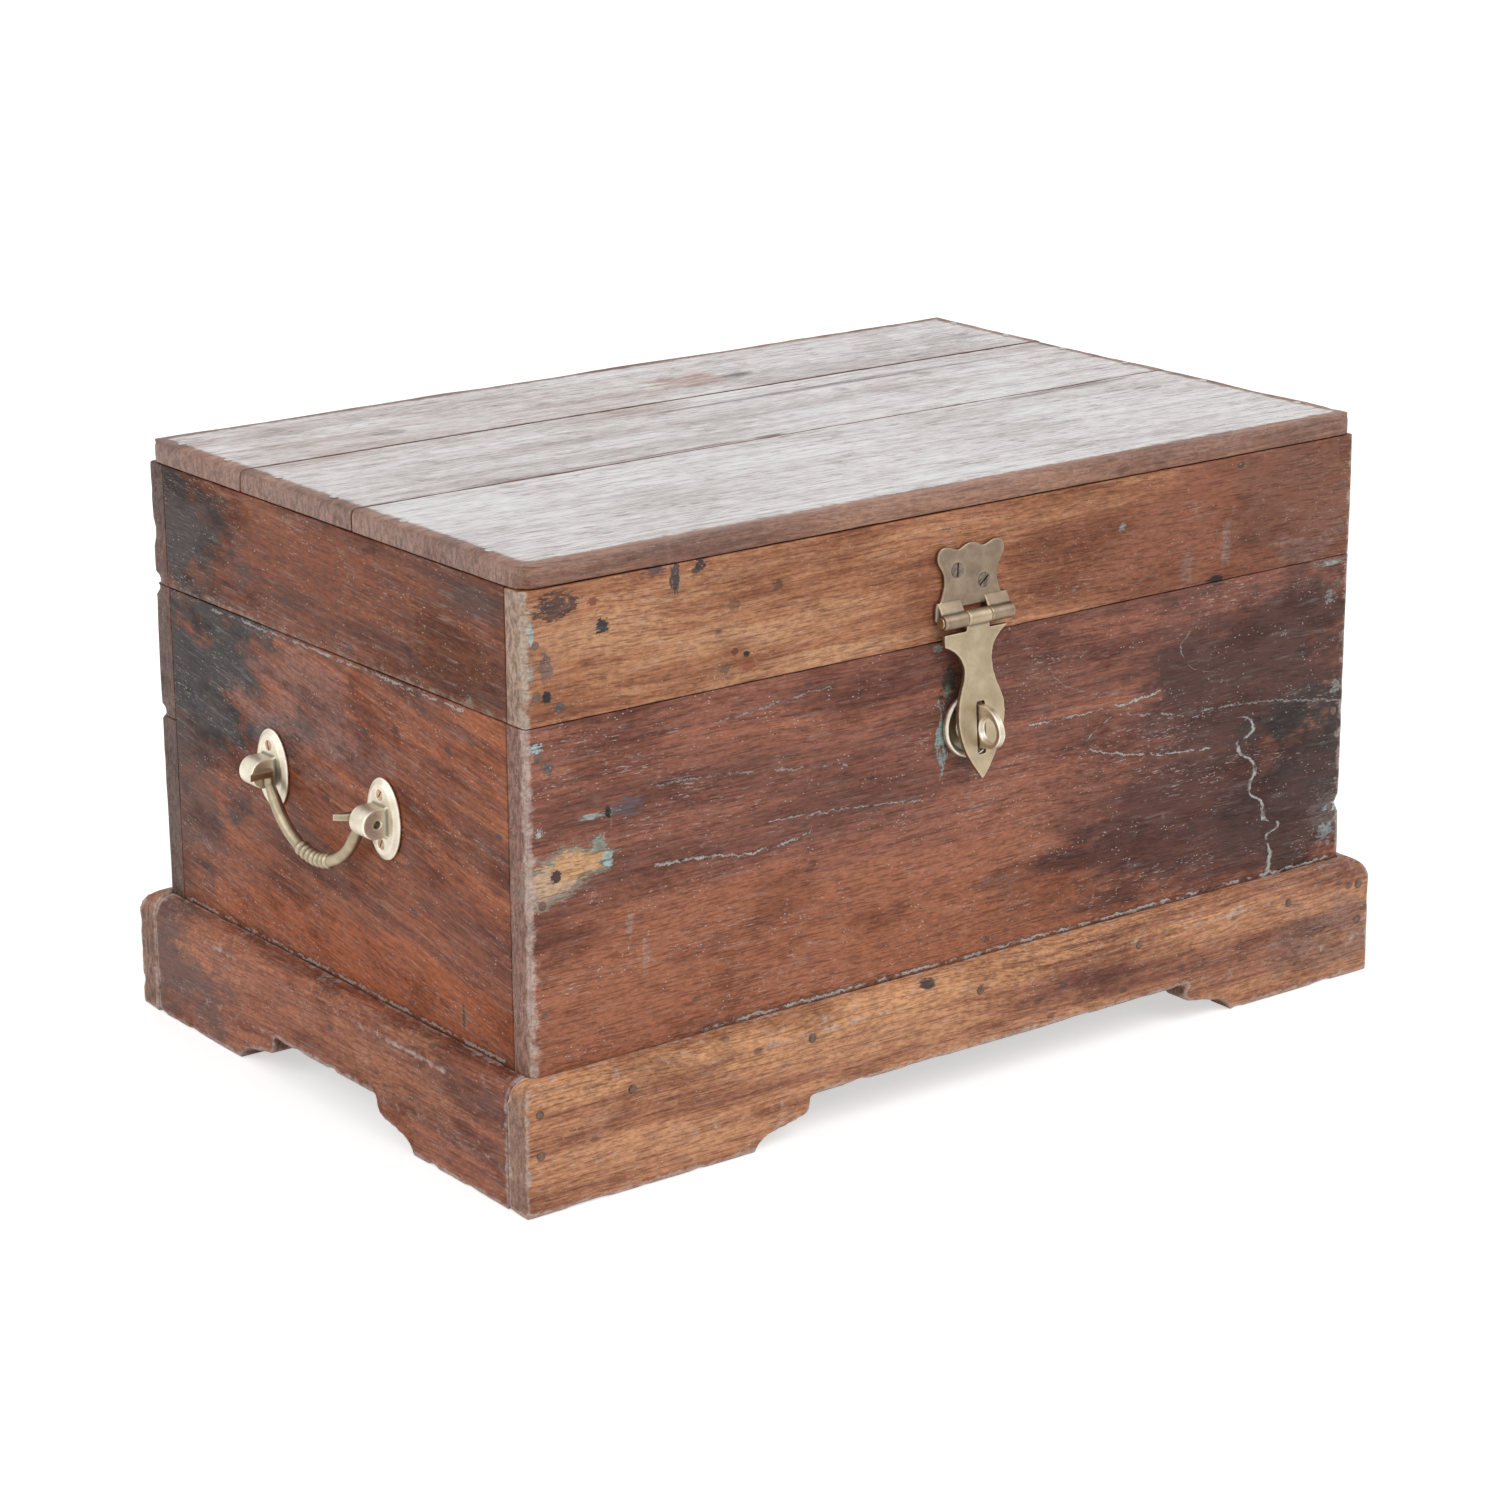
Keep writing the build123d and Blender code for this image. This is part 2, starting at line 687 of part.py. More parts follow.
strap = Pos(0, 0, -hasp_strap / 2) * extrude(make_face(strap_outline), amount=hasp_strap)
strap += along_x(hasp_knuckle_radius, (-tongue, tongue), 0, 0)
slot_width = staple_lug + 2 * hasp_slot_side_play
slot = RectangleRounded(slot_width, staple_lug_height + 2 * hasp_slot_play, slot_width / 4)
slot_drop = staple_below_hasp / math.cos(strap_lean)
strap -= Pos(0, -slot_drop, -beyond) * extrude(slot, amount=2 * beyond)
hanging = Pos(0, 0, hasp_axis_out) * Rot(-math.degrees(strap_lean), 0, 0)
save("hasp_strap", hasp_place * (hanging * strap - hasp_bore))

# ---------------------------------------------------------------- case


def worn_lap_board(way, inner, heights, rim_edge=None):
    """A front or back board. Its upright corners and its edge at the rim are worn round."""
    piece = board((-end, end), sorted((way * inner, way * side)), heights)
    uprights = piece.edges().filter_by(Axis.Z).group_by(Axis.Y)
    piece = fillet(uprights[0 if way < 0 else -1], corner_wear)
    if rim_edge is None:
        return piece
    level = piece.edges().group_by(Axis.Z)[-1 if rim_edge == "upper" else 0].sort_by(Axis.Y)
    return fillet(level[:-1] if way < 0 else level[1:], rim_wear)


def worn_side_board(way, inner_x, inner_y, heights, rim_edge):
    """A side board between the laps, its outer edge at the rim worn round."""
    piece = board(sorted((way * inner_x, way * end)), (-inner_y, inner_y), heights)
    level = piece.edges().group_by(Axis.Z)[-1 if rim_edge == "upper" else 0]
    outer = level.filter_by(Axis.Y).sort_by(Axis.X)
    return fillet(outer[0 if way < 0 else -1], rim_wear)


case_heights = (floor_top, rim_height)
inner_end = end - case_board
inner_side = side - case_board

front = worn_lap_board(-1, inner_side, case_heights, "upper")
save("case_front_board", front - case_nails - base_nails - floor_nails - staple_hole)

lower = worn_lap_board(1, inner_side, (floor_top, back_joint_height))
save("case_back_lower_plank", lower - case_nails - base_nails - floor_nails)
upper = worn_lap_board(1, inner_side, (back_joint_height, rim_height), "upper")
save("case_back_upper_plank", upper - case_nails - hinge_recesses - hinge_holes)

for name, way in (("left", -1), ("right", 1)):
    plank = worn_side_board(way, inner_end, inner_side, case_heights, "upper")
    save(f"case_{name}_side", plank - case_nails - handle_holes)
save("case_nails", *case_nails)

floor_width = case_depth / floor_board_count
for index in range(floor_board_count):
    low = -side + index * floor_width
    plank = board((-end, end), (low, low + floor_width), (floor_underside, floor_top))
    save(f"floor_board_{index + 1}", plank - floor_nails)
save("floor_nails", *floor_nails)

# ---------------------------------------------------------------- lid

lid_heights = (rim_height, lid_top)
lid_inner_end = end - lid_rail
lid_inner_side = side - lid_rail
top_nail_reach = top_nail_length - top_plank
lid_rows = (rim_height + lid_nail_above_rim, lid_top - top_nail_reach - 2 * nail_head_radius)
lid_nails = lap_nails(end - lid_rail / 2, side, lid_rows)

plank_edges = [-side, -side + front_plank_width, -side + front_plank_width + middle_plank_width, side]
plank_spans = dict(zip(("front", "middle", "rear"), zip(plank_edges, plank_edges[1:])))
top_nails = [
    facing((sx * (end - lid_rail / 2), low + share * (high - low), chest_height), (0, 0, 1))
    * nail(top_nail_length)
    for low, high in plank_spans.values()
    for share in (0.25, 0.75)
    for sx in (-1, 1)
]

front = worn_lap_board(-1, lid_inner_side, lid_heights, "lower")
save("lid_front_rail", front - lid_nails - top_nails - [hasp_place * hole for hole in hasp_holes])
back = worn_lap_board(1, lid_inner_side, lid_heights, "lower")
save("lid_back_rail", back - lid_nails - top_nails - hinge_recesses - hinge_holes)
for name, way in (("left", -1), ("right", 1)):
    rail = worn_side_board(way, lid_inner_end, lid_inner_side, lid_heights, "lower")
    save(f"lid_{name}_rail", rail - lid_nails - top_nails)
save("lid_nails", *lid_nails)

top = board((-end, end), (-side, side), (lid_top, chest_height))
top = fillet(top.edges().filter_by(Axis.Z), top_corner_radius)
top = fillet(top.edges().group_by(Axis.Z)[-1], top_edge_radius)
for name, y_span in plank_spans.items():
    plank = top & board((-end, end), y_span, (lid_top, chest_height))
    save(f"lid_top_{name}_plank", plank - top_nails)
save("top_nails", *top_nails)
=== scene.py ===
import bmesh
import bpy
import json
import math
import numpy as np
from mathutils import Matrix, Vector


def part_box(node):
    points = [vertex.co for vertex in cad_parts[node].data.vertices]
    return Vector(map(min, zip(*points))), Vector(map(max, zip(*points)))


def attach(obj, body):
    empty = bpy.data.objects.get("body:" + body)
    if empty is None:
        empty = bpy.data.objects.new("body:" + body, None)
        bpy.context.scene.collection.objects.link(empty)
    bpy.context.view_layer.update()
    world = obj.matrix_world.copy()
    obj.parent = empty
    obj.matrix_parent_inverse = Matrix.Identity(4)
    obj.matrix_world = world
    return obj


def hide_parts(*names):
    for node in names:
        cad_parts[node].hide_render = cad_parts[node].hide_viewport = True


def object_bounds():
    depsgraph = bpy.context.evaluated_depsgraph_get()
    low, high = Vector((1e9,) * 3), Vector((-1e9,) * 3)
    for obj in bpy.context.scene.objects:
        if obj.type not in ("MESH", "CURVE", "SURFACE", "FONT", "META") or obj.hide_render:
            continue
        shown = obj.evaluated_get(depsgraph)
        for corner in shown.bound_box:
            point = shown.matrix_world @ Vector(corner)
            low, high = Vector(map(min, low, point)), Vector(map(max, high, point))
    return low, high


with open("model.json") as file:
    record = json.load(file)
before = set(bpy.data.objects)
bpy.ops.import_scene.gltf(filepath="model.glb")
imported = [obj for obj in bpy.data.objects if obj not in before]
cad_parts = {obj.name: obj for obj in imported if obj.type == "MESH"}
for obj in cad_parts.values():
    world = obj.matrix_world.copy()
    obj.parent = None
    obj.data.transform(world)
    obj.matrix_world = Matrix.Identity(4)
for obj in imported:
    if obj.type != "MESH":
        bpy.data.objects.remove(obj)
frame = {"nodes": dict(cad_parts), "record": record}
nodes = frame["nodes"]
cad_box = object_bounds()
bodies = frame["record"]["behaviour"]["bodies"]
body_of = {name: body for body, names in bodies.items() for name in names}
scene = bpy.context.scene
mm = 0.001

# ------------------------------------------------------------------ camera
# A long lens a little above the lid and off the chest's left front corner, so that the
# lid's top, the hasp on the front and the drop handle on the left end all show.

eye = Vector((-1.1841, -1.5532, 0.7298))
yaw, pitch, roll = (math.radians(angle) for angle in (-37.152, 17.139, -0.338))
backward = Vector((math.sin(yaw) * math.cos(pitch), -math.cos(yaw) * math.cos(pitch), math.sin(pitch)))
level_right = Vector((0, 0, 1)).cross(backward).normalized()
level_up = backward.cross(level_right)
right = math.cos(roll) * level_right + math.sin(roll) * level_up
up = math.cos(roll) * level_up - math.sin(roll) * level_right
camera_data = bpy.data.cameras.new("camera")
camera_data.sensor_width = 36
camera_data.lens = 94.83
camera_data.clip_end = 50
camera = bpy.data.objects.new("camera", camera_data)
camera.matrix_world = Matrix.Translation(eye) @ Matrix((right, up, backward)).transposed().to_4x4()
scene.collection.objects.link(camera)
scene.camera = camera
scene.view_settings.view_transform = "Standard"


# ------------------------------------------------------------------ studio
# A white floor without an edge, white air all round, one broad lamp over the front and a
# weaker one at the left. The floor is lit as a matt sheet, so that it keeps the shadow.


def add(tree, kind, settings=(), inputs=()):
    """A new node, its properties set and its inputs linked or given a value."""
    node = tree.nodes.new(kind if "Node" in kind else "ShaderNode" + kind)
    for key, value in dict(settings).items():
        setattr(node, key, value)
    for key, value in dict(inputs).items():
        if isinstance(value, bpy.types.NodeSocket):
            tree.links.new(value, node.inputs[key])
        else:
            node.inputs[key].default_value = value
    return node


def seen_directly(tree):
    """1 for what the camera sees, straight or in a reflection or through glass, else 0."""
    light = add(tree, "LightPath")
    glossy = add(tree, "Math", {"operation": "ADD"}, {0: light.outputs[0], 1: light.outputs["Is Glossy Ray"]})
    both = {0: glossy.outputs[0], 1: light.outputs["Is Transmission Ray"]}
    return add(tree, "Math", {"operation": "ADD", "use_clamp": True}, both).outputs[0]


def new_material(name):
    """A material with an empty node tree, and that tree."""
    material = bpy.data.materials.new(name)
    material.use_nodes = True
    material.node_tree.nodes.clear()
    return material, material.node_tree


ambient = 0.6
world = bpy.data.worlds.new("white air")
world.use_nodes = True
world.node_tree.nodes.clear()
strength = add(
    world.node_tree, "MapRange", (), {0: seen_directly(world.node_tree), 3: ambient, 4: 1.0}
).outputs[0]
air = add(world.node_tree, "Background", (), {"Color": (1, 1, 1, 1), "Strength": strength})
add(world.node_tree, "OutputWorld", (), {"Surface": air.outputs[0]})
scene.world = world

floor_grey = (0.8, 0.8, 0.8, 1)
floor_lift = 0.56
floor_reach = 14.0
floor_drop = 0.2 * mm
floor_paint, tree = new_material("white floor")
matt = add(tree, "BsdfDiffuse", (), {"Color": floor_grey})
lift = add(tree, "Math", {"operation": "MULTIPLY"}, {0: seen_directly(tree), 1: floor_lift})
glow = add(tree, "Emission", (), {"Color": (1, 1, 1, 1), "Strength": lift.outputs[0]})
sheet = add(tree, "AddShader", (), {0: matt.outputs[0], 1: glow.outputs[0]})
add(tree, "OutputMaterial", (), {"Surface": sheet.outputs[0]})
floor_mesh = bpy.data.meshes.new("floor")
corners = [(x * floor_reach, y * floor_reach, 0) for x, y in ((-1, -1), (1, -1), (1, 1), (-1, 1))]
floor_mesh.from_pydata(corners, [], [(0, 1, 2, 3)])
floor_mesh.materials.append(floor_paint)
floor = bpy.data.objects.new("floor", floor_mesh)
floor.location.z = -floor_drop
scene.collection.objects.link(floor)

lamp_target = Vector((0, 0, 0.15))
lamps = {
    "broad lamp": ((0.7, -2.0, 2.3), 2.2, 34),
    "side lamp": ((-2.2, 0.3, 1.5), 1.6, 14),
}
for name, (place, size, power) in lamps.items():
    lamp_data = bpy.data.lights.new(name, "AREA")
    lamp_data.size = size
    lamp_data.energy = power
    lamp = bpy.data.objects.new(name, lamp_data)
    lamp.location = place
    lamp.rotation_euler = (lamp_target - lamp.location).to_track_quat("-Z", "Y").to_euler()
    scene.collection.objects.link(lamp)

# ------------------------------------------------------------------ lid top
# Three teak planks nailed flat over the lid's frame. Sun, dust and hands have paled their faces
# and rounded their outer edges, and the joints between them have opened a little. The pale grey
# on their upward faces is partly sun-worn wood and partly a painted reflection of white light.


def lumps(points, size, seed):
    """Smooth random values from -1 to 1, in lumps of about that size in millimetres."""
    lattice = np.random.default_rng(seed).uniform(-1, 1, (32, 32, 32))
    cell = points / size + 11.3
    base = np.floor(cell).astype(int)
    part = cell - base
    part = part * part * (3 - 2 * part)
    total = np.zeros(len(points))
    for corner in np.ndindex(2, 2, 2):
        weight = np.prod(np.where(corner, part, 1 - part), axis=1)
        total += weight * lattice[tuple(((base + corner) % 32).T)]
    return total


line_spacing = 5
line_offsets = (0, 0.35, 0.8, 1.5, 2.5, 4, 6, 9)


def board_lines(low, high):
    """Places of the mesh lines across a board: close together at its edges."""
    half = (high - low) / 2
    offsets = [offset for offset in line_offsets if offset < half - 1]
    count = max(2, round(2 * (half - offsets[-1]) / line_spacing) + 1)
    inner = np.linspace(low + offsets[-1], high - offsets[-1], count)
    ends = [low + offset for offset in offsets[:-1]], [high - offset for offset in offsets[-2::-1]]
    return np.concatenate((ends[0], inner, ends[1]))


def board_surface(lines):
    """Points and outward quads of a box whose faces are divided along the given lines."""
    shape = [len(each) for each in lines]
    skin = np.zeros(shape, bool)
    for axis in range(3):
        for end in (0, -1):
            skin[tuple(end if other == axis else slice(None) for other in range(3))] = True
    number = np.full(shape, -1)
    number[skin] = np.arange(skin.sum())
    points = np.stack([lines[axis][where] for axis, where in enumerate(np.nonzero(skin))], axis=1)
    quads = []
    for axis in range(3):
        for end in (0, -1):
            face = np.take(number, end if end == 0 else shape[axis] - 1, axis)
            corners = (face[:-1, :-1], face[1:, :-1], face[1:, 1:], face[:-1, 1:])
            quad = np.stack(corners, axis=-1).reshape(-1, 4)
            quads.append(quad[:, ::-1] if (end == 0) != (axis == 1) else quad)
    return points, np.concatenate(quads)


def long_edges():
    """Each edge of a box: its name such as x-z+, its two axes and which side of each it is on."""
    for a, b in ((0, 1), (0, 2), (1, 2)):
        for side_a in (-1, 1):
            for side_b in (-1, 1):
                name = f"{'xyz'[a]}{'-+'[side_a > 0]}{'xyz'[b]}{'-+'[side_b > 0]}"
                yield name, a, b, side_a, side_b


def inward(points, low, high, axis, side):
    """How far each point lies inside one face of a box."""
    return np.where(side > 0, high[axis] - points[:, axis], points[:, axis] - low[axis])


def round_edges(points, low, high, wear, nicks, seed):
    """Round each long edge by its own radius, uneven along the edge, chipped and nicked."""
    uneven = 0.85 + 0.35 * lumps(points, 38, seed) + 0.15 * lumps(points, 11, seed + 1)
    chip = np.clip(lumps(points, 7.5, seed + 2) - 0.5, 0, 1)
    for name, a, b, side_a, side_b in long_edges():
        plain = wear.get(name, wear.get("else", 0.7))
        radius = plain * uneven + min(plain, 2.5) * 1.3 * chip
        for edge, place, half, depth in nicks:
            if edge == name:
                radius = radius + depth * np.exp(-(((points[:, 3 - a - b] - place) / half) ** 4))
        da = inward(points, low, high, a, side_a)
        db = inward(points, low, high, b, side_b)
        near = (da < radius) & (db < radius)
        va, vb = (radius - da)[near], (radius - db)[near]
        shrink = np.maximum(va, vb) / np.maximum(np.hypot(va, vb), 1e-9)
        points[near, a] = (high[a] if side_a > 0 else low[a]) - side_a * (radius[near] - va * shrink)
        points[near, b] = (high[b] if side_b > 0 else low[b]) - side_b * (radius[near] - vb * shrink)
    return points


def make_piece(name, points, faces, material, marks=()):
    """A mesh object from points in millimetres, with one value for each point and mark."""
    mesh = bpy.data.meshes.new(name)
    mesh.from_pydata((points * mm).tolist(), [], faces.tolist())
    mesh.shade_smooth()
    normals = np.empty(len(points) * 3)
    mesh.vertices.foreach_get("normal", normals)
    normals = normals.reshape(-1, 3)
    facing = {"up": normals[:, 2], "end x": abs(normals[:, 0]), "end y": abs(normals[:, 1])}
    for mark, values in {**facing, **dict(marks)}.items():
        mesh.attributes.new(mark, "FLOAT", "POINT").data.foreach_set("value", np.asarray(values, np.float32))
    mesh.materials.append(material)
    piece = bpy.data.objects.new(name, mesh)
    scene.collection.objects.link(piece)
    return piece


def stand_for(piece, node):
    """The piece takes the place and the body of a CAD node, which is hidden."""
    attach(piece, body_of[node])
    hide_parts(node)


def worn_board(node, material, wear, rubbed=(), nicks=(), gap=0.12, let_in=(), rub_reach=4.2, seed=1):
    """A board in the place of a CAD node: edges worn round and rubbed pale, faces a little wavy."""
    low, high = (np.array(corner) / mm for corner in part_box(node))
    lines = [board_lines(low[axis], high[axis]) for axis in range(3)]
    for box_low, box_high, _ in let_in:
        for axis in (0, 1):
            beside = [edge + nudge for edge in (box_low[axis], box_high[axis]) for nudge in (-0.06, 0.06)]
            beside = [value for value in beside if low[axis] < value < high[axis]]
            lines[axis] = np.unique(np.concatenate((lines[axis], beside)))
    points, faces = board_surface(lines)
    rub = np.zeros(len(points))
    for name, a, b, side_a, side_b in long_edges():
        if name in dict(rubbed):
            near = np.hypot(inward(points, low, high, a, side_a), inward(points, low, high, b, side_b))
            rub = np.maximum(rub, dict(rubbed)[name] * np.exp(-((near / rub_reach) ** 2)))
    outward = [(points[:, axis] - low[axis] < 1e-6, high[axis] - points[:, axis] < 1e-6) for axis in range(3)]
    points = round_edges(points, low, high, wear, nicks, seed)
    hollow = 0.11 + 0.11 * lumps(points, 70, seed + 3)
    depth = gap + hollow + 0.07 * lumps(points, 9, seed + 4)
    for axis in range(3):
        points[outward[axis][0], axis] += depth[outward[axis][0]]
        points[outward[axis][1], axis] -= depth[outward[axis][1]]
    for box_low, box_high, floor_at in let_in:
        inside = np.all((points > np.array(box_low)) & (points < np.array(box_high)), axis=1)
        points[inside, 2] = floor_at
    marks = {"edge": rub, "plank": np.full(len(points), 0.137 * seed % 1)}
    stand_for(make_piece("worn_" + node, points, faces, material, marks), node)


def new_group(name, inputs, outputs, kind="Shader"):
    """An empty group with its sockets, and its input and output nodes."""
    group = bpy.data.node_groups.new(name, kind + "NodeTree")
    for direction, sockets in (("INPUT", inputs), ("OUTPUT", outputs)):
        for socket, holds in sockets.items():
            group.interface.new_socket(name=socket, in_out=direction, socket_type="NodeSocket" + holds)
    return group, group.nodes.new("NodeGroupInput"), group.nodes.new("NodeGroupOutput")


def use_group(tree, group, inputs=()):
    """A group placed in a material, or in another group."""
    return add(tree, "Group", {"node_tree": group}, inputs)


def noise(vector, scale, detail=3.0, roughness=0.55):
    """The value of a noise texture on a stretched vector."""
    vector = stretched(vector, scale)
    values = {"Vector": vector, "Scale": 1.0, "Detail": detail, "Roughness": roughness}
    return add(vector.id_data, "TexNoise", (), values).outputs[0]


def stretched(vector, scale=(1, 1, 1), location=(0, 0, 0), rotation=(0, 0, 0)):
    """A vector moved, turned and scaled along its axes."""
    values = {"Vector": vector, "Location": location, "Rotation": rotation, "Scale": scale}
    return add(vector.id_data, "Mapping", (), values).outputs[0]


def above(value, low, high, top=1.0):
    """0 below one value, then a smooth rise to the top at another."""
    values = {0: value, 1: low, 2: high, 3: 0.0, 4: top}
    return add(value.id_data, "MapRange", {"interpolation_type": "SMOOTHSTEP"}, values).outputs[0]


def arithmetic(operation, a, b, clamp=False):
    """One value worked out from two, in the tree of the one that is a socket."""
    tree = (a if isinstance(a, bpy.types.NodeSocket) else b).id_data
    return add(tree, "Math", {"operation": operation, "use_clamp": clamp}, {0: a, 1: b}).outputs[0]


def times(a, b, clamp=False):
    """A product."""
    return arithmetic("MULTIPLY", a, b, clamp)


def plus(a, b, clamp=False):
    """A sum."""
    return arithmetic("ADD", a, b, clamp)


def minus(a, b):
    """A difference."""
    return arithmetic("SUBTRACT", a, b)


def blend(factor, a, b, way="MIX"):
    """Two colours mixed."""
    settings = {"data_type": "RGBA", "blend_type": way, "clamp_factor": True}
    a, b = (value if isinstance(value, bpy.types.NodeSocket) else (*value, 1) for value in (a, b))
    return add(factor.id_data, "Mix", settings, {0: factor, 6: a, 7: b}).outputs[2]


def attribute(tree, name):
    """A value stored on the mesh."""
    return add(tree, "Attribute", {"attribute_name": name}).outputs["Fac"]


def finished(material, inputs):
    """The material with its one surface shader."""
    skin = add(material.node_tree, "BsdfPrincipled", (), inputs)
    add(material.node_tree, "OutputMaterial", (), {"Surface": skin.outputs[0]})
    return material


# Sawn teak: broad clouds of tone, streaks, fine fibre, short open pores and a fine mottle, all
# drawn out along the X of a vector
figure, figure_in, figure_out = new_group(
    "teak figure",
    {"Vector": "Vector"},
    dict.fromkeys(("Tone", "Streaks", "Fibre", "Pores", "Mottle"), "Float"),
)
vector = figure_in.outputs[0]
wander = times(noise(vector, (5, 9, 9), 2.0), 0.016)
sideways = add(figure, "CombineXYZ", (), {1: wander, 2: wander}).outputs[0]
vector = add(figure, "VectorMath", {"operation": "ADD"}, {0: vector, 1: sideways}).outputs[0]
streaks = noise(vector, (3, 95, 95), 5.0, 0.62)
fibre = noise(vector, (16, 620, 620), 4.0, 0.66)
clouds = noise(vector, (5, 19, 19), 3.0, 0.5)
tone = plus(times(clouds, 0.5), times(streaks, 0.5))
tone = plus(tone, times(fibre, 0.32))
pores = noise(vector, (70, 1200, 1200), 2.0)
mottle = noise(vector, (240, 620, 620), 6.0, 0.7)
figure_values = (
    above(tone, 0.52, 0.79), streaks, fibre,
    above(pores, 0.53, 0.62), above(mottle, 0.38, 0.6),
)
for value, socket in zip(figure_values, figure_out.inputs):
    figure.links.new(value, socket)

# A patch with a ragged edge about a point
patch, patch_in, patch_out = new_group(
    "ragged patch",
    {"Vector": "Vector", "Centre": "Vector", "Size": "Vector", "Ragged": "Float", "Soft": "Float"},
    {"Mask": "Float"},
)
place, centre, size, ragged, soft = patch_in.outputs[:5]
offset = add(patch, "VectorMath", {"operation": "SUBTRACT"}, {0: place, 1: centre}).outputs[0]
scaled = add(patch, "VectorMath", {"operation": "DIVIDE"}, {0: offset, 1: size}).outputs[0]
distance = add(patch, "VectorMath", {"operation": "LENGTH"}, {0: scaled}).outputs["Value"]
far = add(patch, "VectorMath", {"operation": "SCALE"}, {0: centre, 3: 90.0}).outputs[0]
own = add(patch, "VectorMath", {"operation": "ADD"}, {0: scaled, 1: far}).outputs[0]
torn = minus(noise(own, (1.7, 1.7, 2.4), 8.0, 0.68), 0.5)
torn = times(times(torn, ragged), 2.6)
rim_start = minus(1.0, soft)
inside = above(plus(distance, torn), rim_start, 1.05)
patch.links.new(minus(1.0, inside), patch_out.inputs[0])

# Age: pale dashes and specks of old limewash, dark pits, and clouds of grime and dust
age, age_in, age_out = new_group(
    "age", {"Vector": "Vector"}, dict.fromkeys(("Dashes", "Specks", "Pits", "Grime", "Dust"), "Float")
)
vector = age_in.outputs[0]
dashes = above(noise(vector, (190, 1500, 1500), 3.0, 0.65), 0.59, 0.67)
dash_zone = above(noise(vector, (14, 40, 40), 5.0, 0.66), 0.48, 0.62)
speck_place = stretched(vector, (330, 560, 560))
speck = add(age, "TexVoronoi", (), {"Vector": speck_place, "Scale": 1.0}).outputs[0]
speck = minus(1.0, above(speck, 0.08, 0.22))
speck_zone = above(noise(vector, (60, 90, 90), 6.0, 0.7), 0.5, 0.58)
pit_place = stretched(vector, (55, 90, 90), (3, 1, 2))
pit = add(age, "TexVoronoi", (), {"Vector": pit_place, "Scale": 1.0}).outputs[0]
pit = minus(1.0, above(pit, 0.1, 0.2))
pit_zone = above(noise(stretched(vector, location=(2, 5, 3)), (14, 25, 25), 2.0), 0.52, 0.6)
grime = noise(stretched(vector, location=(2, 7, 1)), (14, 34, 34), 9.0, 0.7)
dust = noise(stretched(vector, location=(4, 4, 1)), (38, 420, 420), 5.0, 0.75)
age_values = (
    times(dashes, dash_zone), times(speck, speck_zone), times(pit, pit_zone),
    above(grime, 0.47, 0.62), above(dust, 0.53, 0.7),
)
for value, socket in zip(age_values, age_out.inputs):
    age.links.new(value, socket)


crack_wander = 6.5 * mm


def crack(place, run, way, width, break_up=0.5):
    """A thin ragged line on an upright face. Way holds millimetres along the run and across it."""
    tree = place.id_data
    split = add(tree, "SeparateXYZ", (), {0: place}).outputs
    follow, across = {"x": (split[0], split[2]), "y": (split[1], split[2]), "z": (split[2], split[0])}[run]
    width = width * mm
    way = [(at * mm, side * mm) for at, side in way]
    starts, sides = zip(*way)
    low, high = min(sides) - mm, max(sides) + mm
    share = add(tree, "MapRange", (), {0: follow, 1: starts[0], 2: starts[-1]}).outputs[0]
    line = tree.nodes.new("ShaderNodeFloatCurve")
    spots = [((at - starts[0]) / (starts[-1] - starts[0]), (side - low) / (high - low)) for at, side in way]
    curve = line.mapping.curves[0]
    curve.points[0].location, curve.points[1].location = spots[0], spots[-1]
    for spot in spots[1:-1]:
        curve.points.new(*spot)
    line.mapping.update()
    tree.links.new(share, line.inputs["Value"])
    middle = add(tree, "MapRange", (), {0: line.outputs[0], 3: low, 4: high}).outputs[0]
    jitter = noise(place, (230, 230, 230), 4.0, 0.75)
    jitter = times(minus(jitter, 0.5), crack_wander)
    away = arithmetic("ABSOLUTE", minus(plus(across, jitter), middle), 0)
    thick = times(noise(place, (120, 120, 120), 3.0, 0.7), 2.2 * width)
    on = minus(1.0, above(away, 0.2 * width, thick))
    within = arithmetic("COMPARE", share, 0.5)
    within.node.inputs[2].default_value = 0.4999
    gaps = above(noise(place, (150, 150, 150), 3.0), break_up - 0.12, break_up + 0.04)
    return times(times(on, within), gaps)


def bleach_and_glare(wood, old, vector, place, shades, stains):
    """Sun-worn pale wood and painted reflection between two shades, furrowed and stained, and a mask of where
    wax has gone.
    """
    bloom = plus(wood["Tone"], times(old["Grime"], -0.55))
    bloom = plus(bloom, times(wood["Mottle"], 0.35), clamp=True)
    colour = blend(bloom, *shades)
    bare_of_wax = wood["Pores"]
    for centre, size, ragged, amount, shade in stains:
        edge_of = {"Vector": place, "Centre": centre, "Size": size, "Ragged": ragged, "Soft": 0.45}
        mask = use_group(place.id_data, patch, edge_of).outputs[0]
        varied = plus(above(wood["Fibre"], 0.42, 0.6), 0.25)
        stained = times(mask, times(varied, 1.3 * amount, clamp=True))
        colour = blend(stained, colour, shade)
        bare_of_wax = arithmetic("MAXIMUM", bare_of_wax, stained)
    furrows = above(noise(vector, (2.5, 260, 260), 3.0, 0.6), 0.53, 0.6, 0.6)
    return blend(furrows, colour, (0.6, 0.5, 0.47), "MULTIPLY"), bare_of_wax


plank_jump = (0.9, 0.31, 0.53)
grime_tint = (0.4, 0.32, 0.33)
mottle_tint = (0.42, 0.34, 0.32)
pore_tint = (0.34, 0.25, 0.24)
pit_shade = (0.05, 0.035, 0.035)
split_shade = (0.04, 0.025, 0.022)
warm_lime = (0.58, 0.5, 0.46)
small_mark = 25 * mm


